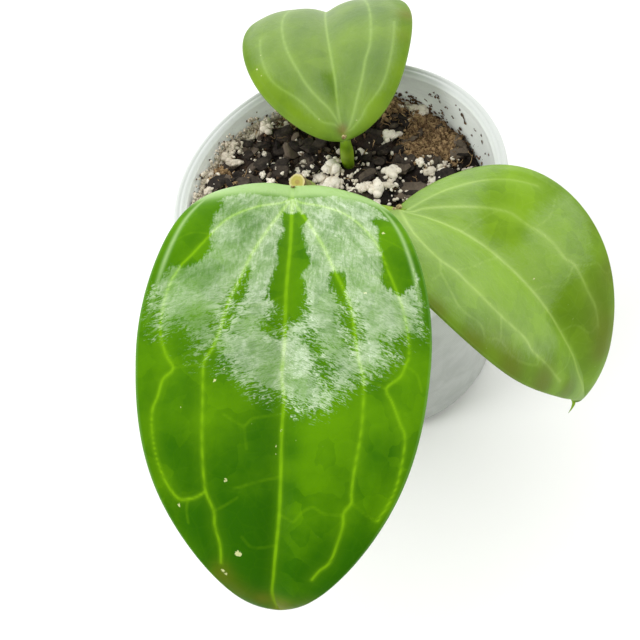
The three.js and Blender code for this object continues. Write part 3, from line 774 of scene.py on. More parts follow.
def stalkMaterial(name):
    material, tree, skin = startMaterial(name, Roughness=0.42, Specular_IOR_Level=0.35)
    place = placed(tree)
    streak = grain(tree, place, 260, 3.0, 0.6, stretch=(1, 1, 0.2))
    cloud = spread(tree, grain(tree, place, 90, 2.0, 0.5), 0.3, 0.7)
    colour = blend(tree, cloud, blade["stalk"], blade["stalkLight"])
    colour = blend(tree, spread(tree, streak, 0.55, 0.8, 0.0, 0.4), colour, blade["stalkLight"], "SOFT_LIGHT")
    dress(tree, skin, colour, raised(tree, streak, 0.0003, 0.5))
    return material


def bladeFrame(leaf):
    # middle line of a blade and its directions, at any place along it
    pieces = 160

    def angles(u):
        heading = np.radians(leaf["heading"] + leaf["turn"] * u)
        fallen = leaf["droop"] * u ** leaf["droopPower"] + leaf["tipCurl"] * u ** 10
        return heading, np.radians(leaf["pitch"] - fallen), np.radians(leaf["roll"] + leaf["twist"] * u)

    def tangent(u):
        heading, pitch, _ = angles(u)
        flat = np.cos(pitch)
        return np.stack([flat * np.cos(heading), flat * np.sin(heading), np.sin(pitch)], axis=-1)

    steps = tangent((np.arange(pieces) + 0.5) / pieces) * leaf["length"] / pieces
    line = np.vstack([[leaf["base"]], leaf["base"] + np.cumsum(steps, axis=0)])

    def at(u):
        heading, _, roll = angles(u)
        level = np.stack([-np.sin(heading), np.cos(heading), 0 * heading], axis=-1)
        upright = np.cross(tangent(u), level)
        across = np.cos(roll)[..., None] * level + np.sin(roll)[..., None] * upright
        up = -np.sin(roll)[..., None] * level + np.cos(roll)[..., None] * upright
        point = [np.interp(u * pieces, np.arange(pieces + 1), line[:, k]) for k in range(3)]
        return np.stack(point, axis=-1), across, up

    return at


def reachOf(leaf, along, side):
    # how far a blade reaches to a side
    widths = np.where(side > 0, smoothValue(leaf["left"], along), smoothValue(leaf["right"], along))
    return np.sin(np.pi * along) * np.maximum(widths, 0.8)


def surfaceOf(leaf):
    # the middle surface of a blade, as a function of a place on it
    frameAt = bladeFrame(leaf)
    bend, rise = math.radians(leaf["camber"]), math.radians(leaf["fold"])

    def surface(along, side):
        along, side = np.broadcast_arrays(np.asarray(along, float), np.asarray(side, float))
        point, across, up = frameAt((1 - np.cos(np.pi * along)) / 2)
        reach = reachOf(leaf, along, side) / bend
        out = reach * (math.sin(rise) - np.sin(rise - bend * np.abs(side)))
        eased = (np.hypot(side, blade["foldRound"]) - blade["foldRound"]) / (1 - blade["foldRound"])
        lift = reach * (np.cos(rise - bend * eased) - math.cos(rise))
        return point + (np.sign(side) * out)[..., None] * across + lift[..., None] * up

    return surface


def flatPlace(leaf, along, side):
    # a place as if the blade were pressed flat: across and along
    along, side = np.asarray(along, float), np.asarray(side, float)
    return stacked(side * reachOf(leaf, along, side), leaf["length"] * (1 - np.cos(np.pi * along)) / 2)


def nearestLine(surface, routes, points):
    # distance from each point to the edge of the nearest vein, less than nothing inside it
    middle, half = [], []
    for start, end, route in routes:
        steps = smoothRoute(route, 260)
        middle.append(surface(steps[:, 0], steps[:, 1]))
        half.append(np.linspace(start, end, len(steps)))
    middle, half = np.vstack(middle), np.concatenate(half)
    finder = KDTree(len(middle))
    for i, point in enumerate(middle):
        finder.insert(point, i)
    finder.balance()
    found = [finder.find(point) for point in points.reshape(-1, 3)]
    return np.array([f[2] - half[f[1]] for f in found]).reshape(points.shape[:-1])


def insideOf(outline, places):
    # distance to a closed outline, more than nothing inside it
    a = np.asarray(outline, float)
    nearest = np.full(places.shape[:-1], 1e9)
    inside = np.zeros(places.shape[:-1], bool)
    for p, q in zip(a, np.roll(a, -1, axis=0)):
        edge = q - p
        gone = places - p
        t = np.clip((gone @ edge) / (edge @ edge), 0, 1)
        nearest = np.minimum(nearest, np.linalg.norm(gone - t[..., None] * edge, axis=-1))
        crosses = (p[1] > places[..., 1]) != (q[1] > places[..., 1])
        rise = edge[1] if abs(edge[1]) > 1e-9 else 1e-9
        inside ^= crosses & (places[..., 0] < p[0] + (places[..., 1] - p[1]) * edge[0] / rise)
    return np.where(inside, nearest, -nearest)


def bladeMarks(leaf, flat, along, side, fromEdge):
    # what the leaf's material reads at each point: film, wear, spots of painted light and shade, warm spots,
    # specks, and the pale edge with a painted sheen line
    def gapTo(a, s):
        return np.linalg.norm(flat - flatPlace(leaf, a, s), axis=-1)

    def spotAt(a, s, size):
        return np.exp(-gapTo(a, s) ** 2 / (2 * (0.6 * size) ** 2))

    field = insideOf(flatPlace(leaf, *np.array(leaf["film"], float).T), flat)
    for window in leaf["windows"]:
        field = np.minimum(field, -insideOf(flatPlace(leaf, *np.array(window, float).T), flat))
    light, warm, worn = np.zeros(side.shape), np.zeros(side.shape), np.zeros(side.shape)
    # spots of painted light and shade, and warm tints
    for a, s, size, lighter, warmer in leaf["lightShadeAndTints"]:
        spot = spotAt(a, s, size)
        light, warm = light + spot * lighter, warm + spot * warmer
    for a, s, size, amount in leaf["worn"]:
        worn += amount * spotAt(a, s, size)
    speck = np.full(side.shape, 5.0)
    for a, s, size in leaf["specks"]:
        speck = np.minimum(speck, gapTo(a, s) - size / 2)
    # the rolled edge round the base, pale partly from a painted sheen, and a painted sheen line inside the
    # margin
    shoulder = blade["shoulder"][0] + blade["shoulder"][1] * np.abs(side)
    band = 1 / (1 + np.exp((along - shoulder) / 0.008))
    line = ridge(fromEdge - 2.5, 0.6, 0.5) * np.clip((0.46 - along) / 0.1, 0, 1) * (along > shoulder)
    return dict(film=np.clip(field / 3, -2, 2), light=light, warm=warm, speck=speck,
                band=np.maximum(band, line), worn=np.clip(worn, -0.4, 0.9))


def makeBlade(leaf, surface):
    # points and faces of a blade, and what its material reads at each point
    (rows, over, below), rounded = leaf["detail"], blade["edgeSteps"]
    along = (np.arange(1, rows) / rows)[:, None]
    edge = blade["margin"] / 2
    # a ring runs over the top from the right to the left, round the edge and back underneath
    ease = np.pi / 2 * 0.86
    topSide = np.sin(np.linspace(-1, 1, over) * ease) / math.sin(ease)
    column = np.concatenate([topSide, np.ones(rounded), np.linspace(1, -1, below), -np.ones(rounded)])
    rolled = np.arange(1, rounded + 1) / (rounded + 1) * np.pi
    turned = np.concatenate([np.zeros(over), rolled, np.full(below, np.pi), np.pi + rolled])
    reach = reachOf(leaf, along, np.sign(column)[None, :] + 0 * along)
    side = column[None, :] * np.clip(1 - edge / np.maximum(reach, 0.5), 0.3, 1)
    middle = surface(along, side)
    step = 0.004
    lengthways = surface(np.clip(along + step, 0, 1), side) - surface(np.clip(along - step, 0, 1), side)
    crossways = surface(along, np.clip(side + step, -1, 1)) - surface(along, np.clip(side - step, -1, 1))
    normal = unit(np.cross(lengthways, crossways))
    outward = unit(crossways) * np.sign(column)[None, :, None]
    half = (blade["margin"] + (blade["thickness"] - blade["margin"]) * (1 - side ** 2)) / 2

    veinGap = nearestLine(surface, leaf["veins"], middle)
    netGap = nearestLine(surface, leaf["crossVeins"], middle)
    flat = flatPlace(leaf, along, side)
    place = np.concatenate([flat, 0 * flat[..., :1]], axis=-1)
    fromEdge = (1 - np.abs(side)) * reach
    fromSide, fromEnd = blade["fade"]
    calm = np.clip(fromEdge / fromSide, 0, 1) * np.clip(np.minimum(along, 1 - along) / fromEnd, 0, 1)
    # the top is swollen between the veins, with a shallow groove along each
    fromVein, fromNet = np.maximum(veinGap, 0), np.maximum(netGap, 0)
    pillow = 1 - ridge(fromVein, 1, blade["pillow"][0])
    smallPillow = 1 - ridge(fromNet, 1, blade["pillow"][1])
    wave = sum(share * softNoise(place, size, leaf["seed"] + k)
               for k, (size, share) in enumerate(blade["waves"]))
    relief = leaf["relief"] * (pillow + 0.3 * smallPillow * pillow - 0.5) + blade["waveHeight"] * wave
    topLift = half + calm * (relief - ridge(veinGap, *blade["groove"]))
    # the underside has a raised midrib and low ribs under the veins
    midrib = (1 - along) * ridge(side * reach, *blade["midrib"])
    ribs = ridge(fromVein, *blade["rib"]) + ridge(fromNet, *blade["crossRib"])
    underLift = half + midrib + calm * (ribs - 0.6 * relief)
    cosine = np.cos(turned)[None, :]
    lift = np.where(cosine > 0.99, topLift, np.where(cosine < -0.99, -underLift, cosine * edge))
    push = np.where(np.abs(cosine) > 0.99, 0, np.abs(np.sin(turned))[None, :] * edge)
    points = middle + lift[..., None] * normal + push[..., None] * outward

    around = points.shape[1]
    ends = surface(np.array([0.0005, 0.9995]), np.array([0.0, 0.0]))
    points = np.vstack([points.reshape(-1, 3), ends])
    faces = [q[::-1] for q in ringQuads(rows - 1, around)]
    faces += fan(len(points) - 2, 0, around, down=True)
    faces += fan(len(points) - 1, (rows - 2) * around, around)
    marks = dict(place=place, vein=veinGap, net=netGap, margin=fromEdge,
                 under=(cosine < -0.5) * np.ones(side.shape),
                 **bladeMarks(leaf, flat, along, side, fromEdge))
    for key, value in marks.items():
        value = value.reshape((-1,) + value.shape[2:])
        marks[key] = np.concatenate([value, value[:1], value[-1:]])
    return points, faces, marks


def buildLeaf(leaf):
    # the blade, its stalk and the callus between them, and a dry hook at the tip if it has one
    surface = surfaceOf(leaf)
    points, faces, marks = makeBlade(leaf, surface)
    slots = [0] * len(faces)
    bladeEnd = len(points)
    # the stalk, thickened where it joins the blade
    steps, around = blade["stalkSteps"], blade["stalkAround"]
    far = np.linspace(0, 1, steps)
    bumps = stacked(np.arange(around)[None, :] * 0.8, far[:, None] * 30, 0.0)
    bumps = 0.08 * softNoise(bumps, 2.5, leaf["seed"] + 5)
    radii = smoothValue(leaf["stalkRadius"], far)[:, None] + bumps
    tubes = [(smoothRoute(leaf["stalk"], steps), radii, around)]
    if "hook" in leaf:
        # the thin dry hook beyond the tip
        steps = blade["hookSteps"]
        thinning = np.linspace(1.0, 0.12, steps) ** 1.4
        tubes.append((smoothRoute(leaf["hook"], steps), thinning[:, None], blade["hookAround"]))
    for route, radii, around in tubes:
        tube, tubeFaces = closedTube(route, radii, around, len(points))
        points = np.vstack([points, tube])
        faces += tubeFaces
        slots += [1] * len(tubeFaces)
    # corky callus where the stalk meets the blade
    random = np.random.default_rng(leaf["seed"])
    a, s, size = np.array(leaf["callus"], float).T
    centres = surface(a, s) + np.array([0, 0, blade["thickness"] / 2])
    sizes = size[:, None] * np.array([1, 0.8, 0.6])
    lumps, lumpFaces = scatter(ballShape(3), centres, sizes, anyTurn(random, len(size), 1), 0.12, random)
    faces += (lumpFaces + len(points)).tolist()
    slots += [2] * len(lumpFaces)
    points = np.vstack([points, lumps])
    for key, value in marks.items():
        marks[key] = np.concatenate([value, np.zeros((len(points) - bladeEnd,) + value.shape[1:])])
    skins = [leafMaterial(leaf["name"] + "_skin", leaf["look"]), stalkMaterial(leaf["name"] + "_stalk"),
             callusMaterial(leaf["name"] + "_callus")]
    return makePiece(leaf["name"] + "_blade", points, faces, skins, slots, marks)


# The pot, a translucent plastic one

pot = dict(
    height=90,
    rimRadius=50,
    rimHeight=5.5,
    rimOverhang=2.4,
    baseRadius=38,
    baseRounding=7,
    wall=1.2,
    floor=1.6,
    around=192,
    drains=dict(count=6, radius=3, circle=29),
    colour=(203, 208, 203),
    shadow=(144, 148, 141),  # painted shade: the soil that shows dimly through the translucent wall
    # painted light: the inner wall above the soil, lighter as if lit through the plastic
    inside=(222, 227, 222),
    haze=(180, 186, 184),
    through=0.16,  # painted glow, standing for daylight through the bare wall above the soil
    dust=(96, 88, 78),
    roughness=0.34,
)


def wallRadius(z):
    # of the pot's outside, at a height
    top = pot["rimRadius"] - pot["rimOverhang"]
    return pot["baseRadius"] + (top - pot["baseRadius"]) * z / pot["height"]


def potProfile():
    # from the middle of the underside out and up, over the rim and down inside
    height, rim, wall, base = pot["height"], pot["rimRadius"], pot["wall"], pot["baseRounding"]
    band = height - pot["rimHeight"]
    inner = wallRadius(height) - wall
    foot = [(wallRadius(base) - base * (1 - math.sin(a)), base * (1 - math.cos(a)))
            for a in np.radians(np.linspace(0, 90, 10))]
    outside = [(wallRadius(z), z) for z in np.linspace(base + 3, band, 26)]
    lip = [(wallRadius(band) + 0.7, band - 0.15), (rim - 0.7, band), (rim - 0.15, band + 0.35),
           (rim, band + 0.9), (rim - 0.05, band + 2.2), (rim - 0.22, band + 2.5), (rim - 0.05, band + 2.8),
           (rim, height - 0.9), (rim - 0.2, height - 0.35), (rim - 0.65, height - 0.02), (rim - 1.1, height),
           (rim - 1.5, height - 0.16), (rim - 1.75, height - 0.42), (rim - 2.05, height - 0.26),
           (rim - 2.4, height - 0.22), (rim - 2.8, height - 0.4), (inner - 0.02, height - 0.9),
           (inner - 0.1, height - 1.8), (inner - 0.02, height - 2.4)]
    small = base - wall
    inside = [(wallRadius(z) - wall, z) for z in np.linspace(height - 4, base + 4, 30)]
    corner = [(wallRadius(base) - wall - small * (1 - math.sin(a)), pot["floor"] + small * (1 - math.cos(a)))
              for a in np.radians(np.linspace(90, 0, 8))]
    return foot + outside + lip + inside + corner


def potMaterial():
    material, tree, skin = startMaterial("pot_plastic", Specular_IOR_Level=0.45)
    place, bare = placed(tree), marked(tree, "bare")
    cloud = spread(tree, grain(tree, place, 26, 3.0, 0.55, warp=0.4), 0.42, 0.62)
    blotch = grain(tree, place, 120, 5.0, 0.65, warp=0.8)
    fine = grain(tree, place, 900, 3.0, 0.6)
    # painted shade where soil lies behind the translucent wall, clouded
    shadeSeen = times(tree, cloud, spread(tree, blotch, 0.3, 0.65, 0.35, 1.0))
    shadeSeen = times(tree, plus(tree, times(tree, shadeSeen, 0.24), 0.5), marked(tree, "soilShadeBehind"))
    smear = spread(tree, grain(tree, place, 240, 5.0, 0.7, warp=1.0), 0.62, 0.72)
    colour = layered(
        tree, blend(tree, shadeSeen, pot["colour"], pot["shadow"]),
        # painted light on the bare inner wall above the soil
        (bare, pot["inside"]),
        (times(tree, smear, marked(tree, "dusty"), 0.75), pot["dust"]),
        (spread(tree, fine, 0.4, 0.8, 0.0, 0.08), pot["haze"]))
    # painted glow: the bare inner wall glows faintly, standing for daylight through the plastic
    tree.links.new(blend(tree, bare, (0, 0, 0), colour), skin.inputs["Emission Color"])
    skin.inputs["Emission Strength"].default_value = pot["through"]
    rough = spread(tree, blotch, 0.2, 0.8, pot["roughness"] - 0.06, pot["roughness"] + 0.14)
    tree.links.new(rough, skin.inputs["Roughness"])
    waves = sums(tree, "SINE", times(tree, marked(tree, "height"), 5.2))
    dress(tree, skin, colour, raised(tree, fine, 0.00006, 0.5, raised(tree, waves, 0.00004, 0.5)))
    return material


def drillDrains(piece):
    drains = pot["drains"]
    cutters = []
    for k in range(drains["count"]):
        cosine, sine = rotation(360 * k / drains["count"])
        points = levelRings([drains["radius"]] * 2, [-4, 6], 32).reshape(-1, 3)
        points += np.array([cosine, sine, 0]) * drains["circle"]
        faces = ringQuads(2, 32) + [tuple(range(31, -1, -1)), tuple(range(32, 64))]
        cutter = makePiece("drain_cutter_%d" % k, points, faces, [])
        cutters.append(cutter)
        hole = piece.modifiers.new("drain", "BOOLEAN")
        hole.operation, hole.object, hole.solver = "DIFFERENCE", cutter, "EXACT"
    piece.data = bpy.data.meshes.new_from_object(piece.evaluated_get(bpy.context.evaluated_depsgraph_get()))
    piece.modifiers.clear()
    for cutter in cutters:
        bpy.data.meshes.remove(cutter.data)


def buildPot():
    profile, around = potProfile(), pot["around"]
    points = levelRings(*np.array(profile).T, around).reshape(-1, 3)
    points = np.vstack([points, [(0, 0, 0), (0, 0, pot["floor"])]])
    faces = ringQuads(len(profile), around)
    faces += fan(len(points) - 2, 0, around, down=True)
    faces += fan(len(points) - 1, (len(profile) - 1) * around, around)
    piece = makePiece("nursery_pot", points, faces, [potMaterial()])
    drillDrains(piece)
    # how high each point is, the painted shade where soil lies behind the wall, how dusty it is, and the bare
    # inner wall above the soil, which gets painted light and a glow
    place = np.empty(len(piece.data.vertices) * 3)
    piece.data.vertices.foreach_get("co", place)
    x, y, z = place.reshape(-1, 3).T / mm
    away = np.hypot(x, y)
    inside = away < wallRadius(z) - pot["wall"] / 2
    toWall = np.where(away > 1, soilRadius(z) / np.maximum(away, 1), 1)
    surface = soilHeight(x * toWall, y * toWall)
    addMark(piece.data, "height", z)
    addMark(piece.data, "soilShadeBehind", np.clip((surface - z + 1.5) / 3, 0, 1))
    addMark(piece.data, "dusty", np.clip(1 - (z - surface) / 9, 0, 1) * inside)
    addMark(piece.data, "bare", inside * np.clip((z - surface) / 2, 0, 1))
    return piece


# The cut stem

stem = dict(
    route=[(-4, -0.5, 52), (-4.5, -3.5, 77.5), (-6, -8, 92), (-7.6, -12.6, 105.2), (-9, -18.5, 117.6)],
    radius=[2.3, 2.5, 2.4, 3, 2.1],
    around=48,
    along=150,
    ridges=0.12,
    node=(105.2, 3.2, 0.35),  # height, reach and swelling where the leaves grow
    scars=(2.6, 0.12, 0.35),  # how far above and below the node, how high and how wide
    # the dished cut end: share of the radius, and how deep it lies there
    dish=[(0.97, -0.12), (0.9, -0.1), (0.75, 0.02), (0.55, 0.1), (0.35, 0.16), (0.15, 0.12)],
    seed=21,
    green=(122, 138, 52),
    brown=(120, 100, 62),
    streaks=(84, 72, 40),
    dots=(196, 186, 132),
    cut=(186, 176, 82),
    pith=(170, 150, 74),
    rim=(214, 204, 140),
    skinEdge=(128, 96, 48),
)


def barkMaterial():
    material, tree, skin = startMaterial("stem_skin", Roughness=0.55, Specular_IOR_Level=0.35)
    place = placed(tree)
    streak = grain(tree, place, 420, 4.0, 0.65, stretch=(1, 1, 0.22))
    patch = spread(tree, grain(tree, place, 150, 3.0, 0.6), 0.4, 0.66)
    colour = layered(
        tree, blend(tree, patch, stem["green"], stem["brown"]),
        (spread(tree, streak, 0.45, 0.75, 0.0, 0.5), stem["streaks"]),
        (spread(tree, cellsOf(tree, place, 700.0), 0.2, 0.05, 0.0, 0.7), stem["dots"]))
    dress(tree, skin, colour, raised(tree, streak, 0.0004, 0.7))
    return material


def cutMaterial():
    material, tree, skin = startMaterial("stem_cut", Roughness=0.45, Specular_IOR_Level=0.4)
    fine = grain(tree, placed(tree), 1500, 4.0, 0.7)
    ring = plus(tree, marked(tree, "ray"), times(tree, minus(tree, fine, 0.5), 0.25))
    colour = layered(
        tree, blend(tree, spread(tree, ring, 0.2, 0.42), stem["pith"], stem["cut"]),
        (spread(tree, ring, 0.66, 0.86), stem["rim"]),
        (spread(tree, ring, 0.93, 1.02), stem["skinEdge"]))
    dress(tree, skin, colour, raised(tree, fine, 0.0003, 0.5))
    return material


def buildStem():
    along, around = stem["along"], stem["around"]
    route = smoothRoute(stem["route"], along)
    radii = np.interp(np.linspace(0, 1, along), np.linspace(0, 1, len(stem["radius"])), stem["radius"])
    radii = np.convolve(np.pad(radii, 8, mode="edge"), np.ones(17) / 17, mode="valid")
    turn = np.linspace(0, 2 * np.pi, around, endpoint=False)
    skin = stacked(4 * np.cos(turn)[None, :], 4 * np.sin(turn)[None, :], route[:, 2][:, None] * 0.25)
    bumps = roughNoise(skin, 1.6, 3, stem["seed"]) * stem["ridges"]
    height, reach, swell = stem["node"]
    away, high, wide = stem["scars"]
    above = route[:, 2] - height
    knot = ridge(above, swell, reach) + ridge(above - away, high, wide) + ridge(above + away, high, wide)
    rings, ahead = tubeRings(route, radii[:, None] + bumps + knot[:, None], around)
    # the cut end: rings running in to the pith, a little dished
    points, ray = [rings.reshape(-1, 3)], [np.ones(along * around)]
    top, up = route[-1], ahead[-1]
    for share, sink in stem["dish"]:
        ring = top + (rings[-1] - top) * share - up * sink
        points.append(ring + 0.05 * softNoise(ring * 3, 1.5, 5)[:, None] * up)
        ray.append(np.full(around, share))
    cuts = len(points)
    points = np.vstack(points + [[top - up * 0.08], [route[0]]])
    ray = np.concatenate(ray + [[0.0], [1.0]])
    lastRing = (along - 1) * around
    ray[lastRing:lastRing + around] = 1.05
    sides = ringQuads(along, around) + fan(len(points) - 1, 0, around, down=True)
    ends = ringQuads(cuts, around, lastRing)
    ends += fan(len(points) - 2, lastRing + (cuts - 1) * around, around)
    return makePiece("cut_stem", points, sides + ends, [barkMaterial(), cutMaterial()],
                     [0] * len(sides) + [1] * len(ends), dict(ray=ray))


# The bed of soil

soil = dict(
    gap=0.3,
    level=77.4,
    slope=(-0.12, 0.05),
    waves=[(1.1, 13, 40, 75), (0.7, 8.5, -35, 30), (0.8, 17, 100, 0)],  # height, length, direction, phase
    heaps=[(-34, 18, 2.4, 8.5), (28, 36, 3, 9.5), (6.5, 14.5, 1.2, 2.6)],  # x, y, height, reach
    crumble=0.9,
    rings=190,
    around=380,
    seed=3,
    dark=(20, 16, 14),
    light=(64, 50, 40),
    stemFeet=[(-4.45, -3.3), (6.7, 15)],  # where the stem and the back stalk come out
)


def soilRadius(z):
    return wallRadius(z) - pot["wall"] - soil["gap"]


def soilHeight(x, y):
    # a gentle slope with waves and heaps
    z = soil["level"] + soil["slope"][0] * x + soil["slope"][1] * y
    for height, length, direction, phase in soil["waves"]:
        cosine, sine = rotation(direction)
        z = z + height * np.sin(2 * np.pi * (x * cosine + y * sine) / length + math.radians(phase))
    for cx, cy, height, reach in soil["heaps"]:
        z = z + height * np.exp(-((x - cx) ** 2 + (y - cy) ** 2) / (2 * reach ** 2))
    return z


def onSoil(x, y, lift=0.0):
    return stacked(x, y, soilHeight(x, y) + lift)


def earthMaterial(name, dark, light, roughness=0.9, scale=700, depth=0.0006):
    material, tree, skin = startMaterial(name, Roughness=roughness, Specular_IOR_Level=0.3)
    place = placed(tree)
    fine = grain(tree, place, scale, 4.0, 0.7)
    tone = plus(tree, times(tree, marked(tree, "own"), 0.6),
                times(tree, grain(tree, place, scale * 0.35, 4.0, 0.65), 0.55),
                times(tree, minus(tree, fine, 0.5), 0.5))
    colour = blend(tree, spread(tree, tone, 0.15, 1.0), dark, light)
    dress(tree, skin, colour, raised(tree, fine, depth, 0.8))
    return material


def buildSoil():
    rings, around = soil["rings"], soil["around"]
    share = (np.arange(1, rings + 1) / rings)[:, None]
    wide = soilRadius(soil["level"])
    x, y, _ = np.moveaxis(levelRings(share[:, 0] * wide, 0 * share[:, 0], around), -1, 0)
    crumbs = roughNoise(stacked(x, y, 0), 3.4, 4, soil["seed"])
    z = soilHeight(x, y) + soil["crumble"] * (np.abs(crumbs) * 1.6 - 0.7) - 0.4
    stretch = 1 + (soilRadius(z) / wide - 1) * share ** 3
    top = stacked(x * stretch, y * stretch, z).reshape(-1, 3)
    # the plug below: down the wall, round its foot and across the bottom
    foot, bottom = pot["baseRounding"] + pot["floor"], pot["floor"] + soil["gap"]
    wall = [(soilRadius(h), h) for h in np.linspace(64, foot, 8)]
    wall += [(soilRadius(foot) - 2, foot - 5), (soilRadius(foot) - 6, bottom)]
    skirt = levelRings(*np.array(wall).T, around).reshape(-1, 3)
    points = np.vstack([top, skirt, [(0, 0, float(soilHeight(0.0, 0.0))), (0, 0, bottom)]])
    faces = [f[::-1] for f in ringQuads(rings + len(wall), around)]
    faces += fan(len(points) - 2, 0, around)
    faces += fan(len(points) - 1, (rings + len(wall) - 1) * around, around, down=True)
    own = roughNoise(points, 5, 3, 8) * 0.5 + 0.4
    skin = earthMaterial("soil_earth", soil["dark"], soil["light"], scale=900)
    return makePiece("soil_bed", points, faces, [skin], marks=dict(own=own))


def spots(random, count, reach):
    # places spread evenly over a disc
    away = reach * np.sqrt(random.uniform(0, 1, count))
    turn = random.uniform(0, 2 * np.pi, count)
    return away * np.cos(turn), away * np.sin(turn)


def keptWithin(x, y, reach):
    fit = np.minimum(1, reach / np.maximum(np.hypot(x, y), 1))
    return x * fit, y * fit


def clearOfStems(x, y, room):
    # pushed away from the stem and the back stalk
    for footX, footY in soil["stemFeet"]:
        gone = np.hypot(x - footX, y - footY)
        push = np.maximum(room - gone, 0) / np.maximum(gone, 0.1)
        x, y = x + (x - footX) * push, y + (y - footY) * push
    return x, y


# Bark chips and crumbs of peat: how many, from the smallest to the largest, half width and flatness as
# shares of the length, then how jagged, square, tilted, rough and sunken they are

bark = dict(
    count=820, smallest=1.4, largest=6.4, width=(0.28, 0.46), flatness=0.34, reach=44.5, seed=11,
    jagged=0.23, square=0.25, lean=0.5, rough=0.12, sunk=0.35,
    dark=(27, 22, 19), light=(116, 103, 88),
    # the plates that lie on top: x, y, length, width, turn, tone
    plates=[
        (21, 1, 10.5, 6.5, -25, 0.62), (10.5, 9.6, 6, 3, 20, 0.5), (27, -4.5, 6, 4, 30, 0.35),
        (15, 16, 5, 3, -40, 0.2), (-14, 21, 7, 4, 60, 0.15), (-24, 18, 6, 4, 20, 0.3),
        (-12, 30, 7, 3.4, -15, 0.1), (-1, 27, 6, 4, 40, 0.2), (24, 11.5, 5, 3, 10, 0.25)],
)

peat = dict(
    count=3600, smallest=0.45, largest=1.7, width=(0.28, 0.46), flatness=0.7, reach=45, seed=12,
    jagged=0.2, square=0.1, lean=1.5, rough=0.14, sunk=0.5,
    dark=(28, 21, 17), light=(120, 92, 66),
    # crumbs on the wall: the angles between which they cling, how far they climb and their sizes
    onWall=dict(count=300, start=-20, end=200, climb=1.7, size=(0.12, 0.5)),
    # smudges on the wall: angle, height, how tall, how wide
    flecks=[
        (35.8, 84.5, 1.0, 1.0), (34, 86, 0.7, 0.5), (32.3, 85, 1.7, 1.3), (31, 83.6, 1.0, 0.7),
        (27.8, 82.5, 1.2, 0.8), (17.8, 84.2, 2.6, 1.3), (16.6, 82.2, 1.8, 1.0), (19.5, 85.6, 0.9, 0.7),
        (3.2, 83.5, 1.2, 0.7), (4.2, 85.4, 0.9, 0.6), (9.3, 83.7, 0.8, 0.8), (45.5, 79.2, 1.2, 0.9),
        (24, 80.5, 0.9, 0.8), (12, 80, 1.1, 0.7), (38, 81.4, 0.8, 0.9), (22, 86.4, 0.5, 0.5),
        (0, 81, 0.9, 0.7), (-4, 84, 0.7, 0.6), (150, 88, 0.5, 0.7), (131, 87.6, 0.6, 0.6), (20, 75.8, 3, 3),
        (27, 74.6, 3.5, 3), (33, 76.8, 3, 3.5), (38, 77.8, 3, 3), (42, 78.8, 2.6, 3), (47, 79, 2.4, 3),
        (52, 80, 2.6, 3), (57, 81, 2.6, 3), (62, 82, 2.2, 3), (68, 82.6, 2.4, 3), (30, 79, 1.6, 2),
        (45, 81, 1.4, 1.6), (60, 83, 1.2, 1.5), (36, 80, 1.4, 1.4)],
)


def layPlates(plates, random):
    x, y, long, wide, turn, tone = np.array(plates, float).T
    sizes = stacked(long / 2, wide / 2, 0.6)
    turns = turnedBy(np.radians(turn))
    return scatter(ballShape(3), onSoil(x, y, 0.6), sizes, turns, 0.12, random, 0.45, 0.1), tone


def clingToWall(kind, shape, random):
    # crumbs on the wall above the soil, fewer further up
    wall = kind["onWall"]
    turn = np.radians(random.uniform(wall["start"], wall["end"], wall["count"]))
    toWall = soilRadius(88) - 0.4
    level = soilHeight(toWall * np.cos(turn), toWall * np.sin(turn))
    height = level + random.exponential(wall["climb"], len(turn))
    keep = height < pot["height"] - 3
    turn, height = turn[keep], height[keep]
    grit = random.uniform(*wall["size"], (len(turn), 1)) * np.array([0.5, 1, 1])
    # each smudge is a few flat crumbs close together
    angle, up, tall, wide = np.repeat(np.array(kind["flecks"], float), 7, axis=0).T
    up = up + tall * random.normal(0, 0.3, len(up))
    angle = angle + np.degrees(wide * random.normal(0, 0.35, len(up)) / 45)
    smudge = stacked(0.12, wide * 0.22, tall * 0.24) * random.uniform(0.6, 1.3, (len(up), 1))
    turn, height = np.concatenate([turn, np.radians(angle)]), np.concatenate([height, up])
    away = soilRadius(height) + 0.05
    centres = stacked(away * np.cos(turn), away * np.sin(turn), height)
    lumps = scatter(shape, centres, np.vstack([grit, smudge]), turnedBy(turn), 0.2, random, 0, 0.15)
    return lumps, random.uniform(0.2, 1, len(turn))


def buildLumps(name, kind, shape, skinName):
    random = np.random.default_rng(kind["seed"])
    x, y = spots(random, kind["count"], kind["reach"])
    long = kind["smallest"] + (kind["largest"] - kind["smallest"]) * random.uniform(0, 1, len(x)) ** 2.2
    x, y = clearOfStems(x, y, 3.4 + long * 0.5)
    x, y = keptWithin(x, y, soilRadius(soilHeight(x, y)) - long * 0.45)
    wide = long * random.uniform(*kind["width"], len(x))
    tall = long * 0.5 * kind["flatness"] * random.uniform(0.7, 1.3, len(x))
    centres = onSoil(x, y, tall * kind["sunk"] - 0.2)
    turns = anyTurn(random, len(x), kind["lean"])
    lumps = scatter(shape, centres, stacked(long * 0.5, wide, tall), turns, kind["rough"], random,
                    kind["square"], kind["jagged"])
    layers = [(lumps, random.uniform(0, 1, len(x)) ** 3)]
    if "plates" in kind:
        layers.append(layPlates(kind["plates"], random))
    if "onWall" in kind:
        layers.append(clingToWall(kind, shape, random))
    points, faces, own = joinLumps(layers)
    skin = earthMaterial(skinName, kind["dark"], kind["light"])
    return makePiece(name, points, faces, [skin], marks=dict(own=own), smooth=False)


# Perlite grains

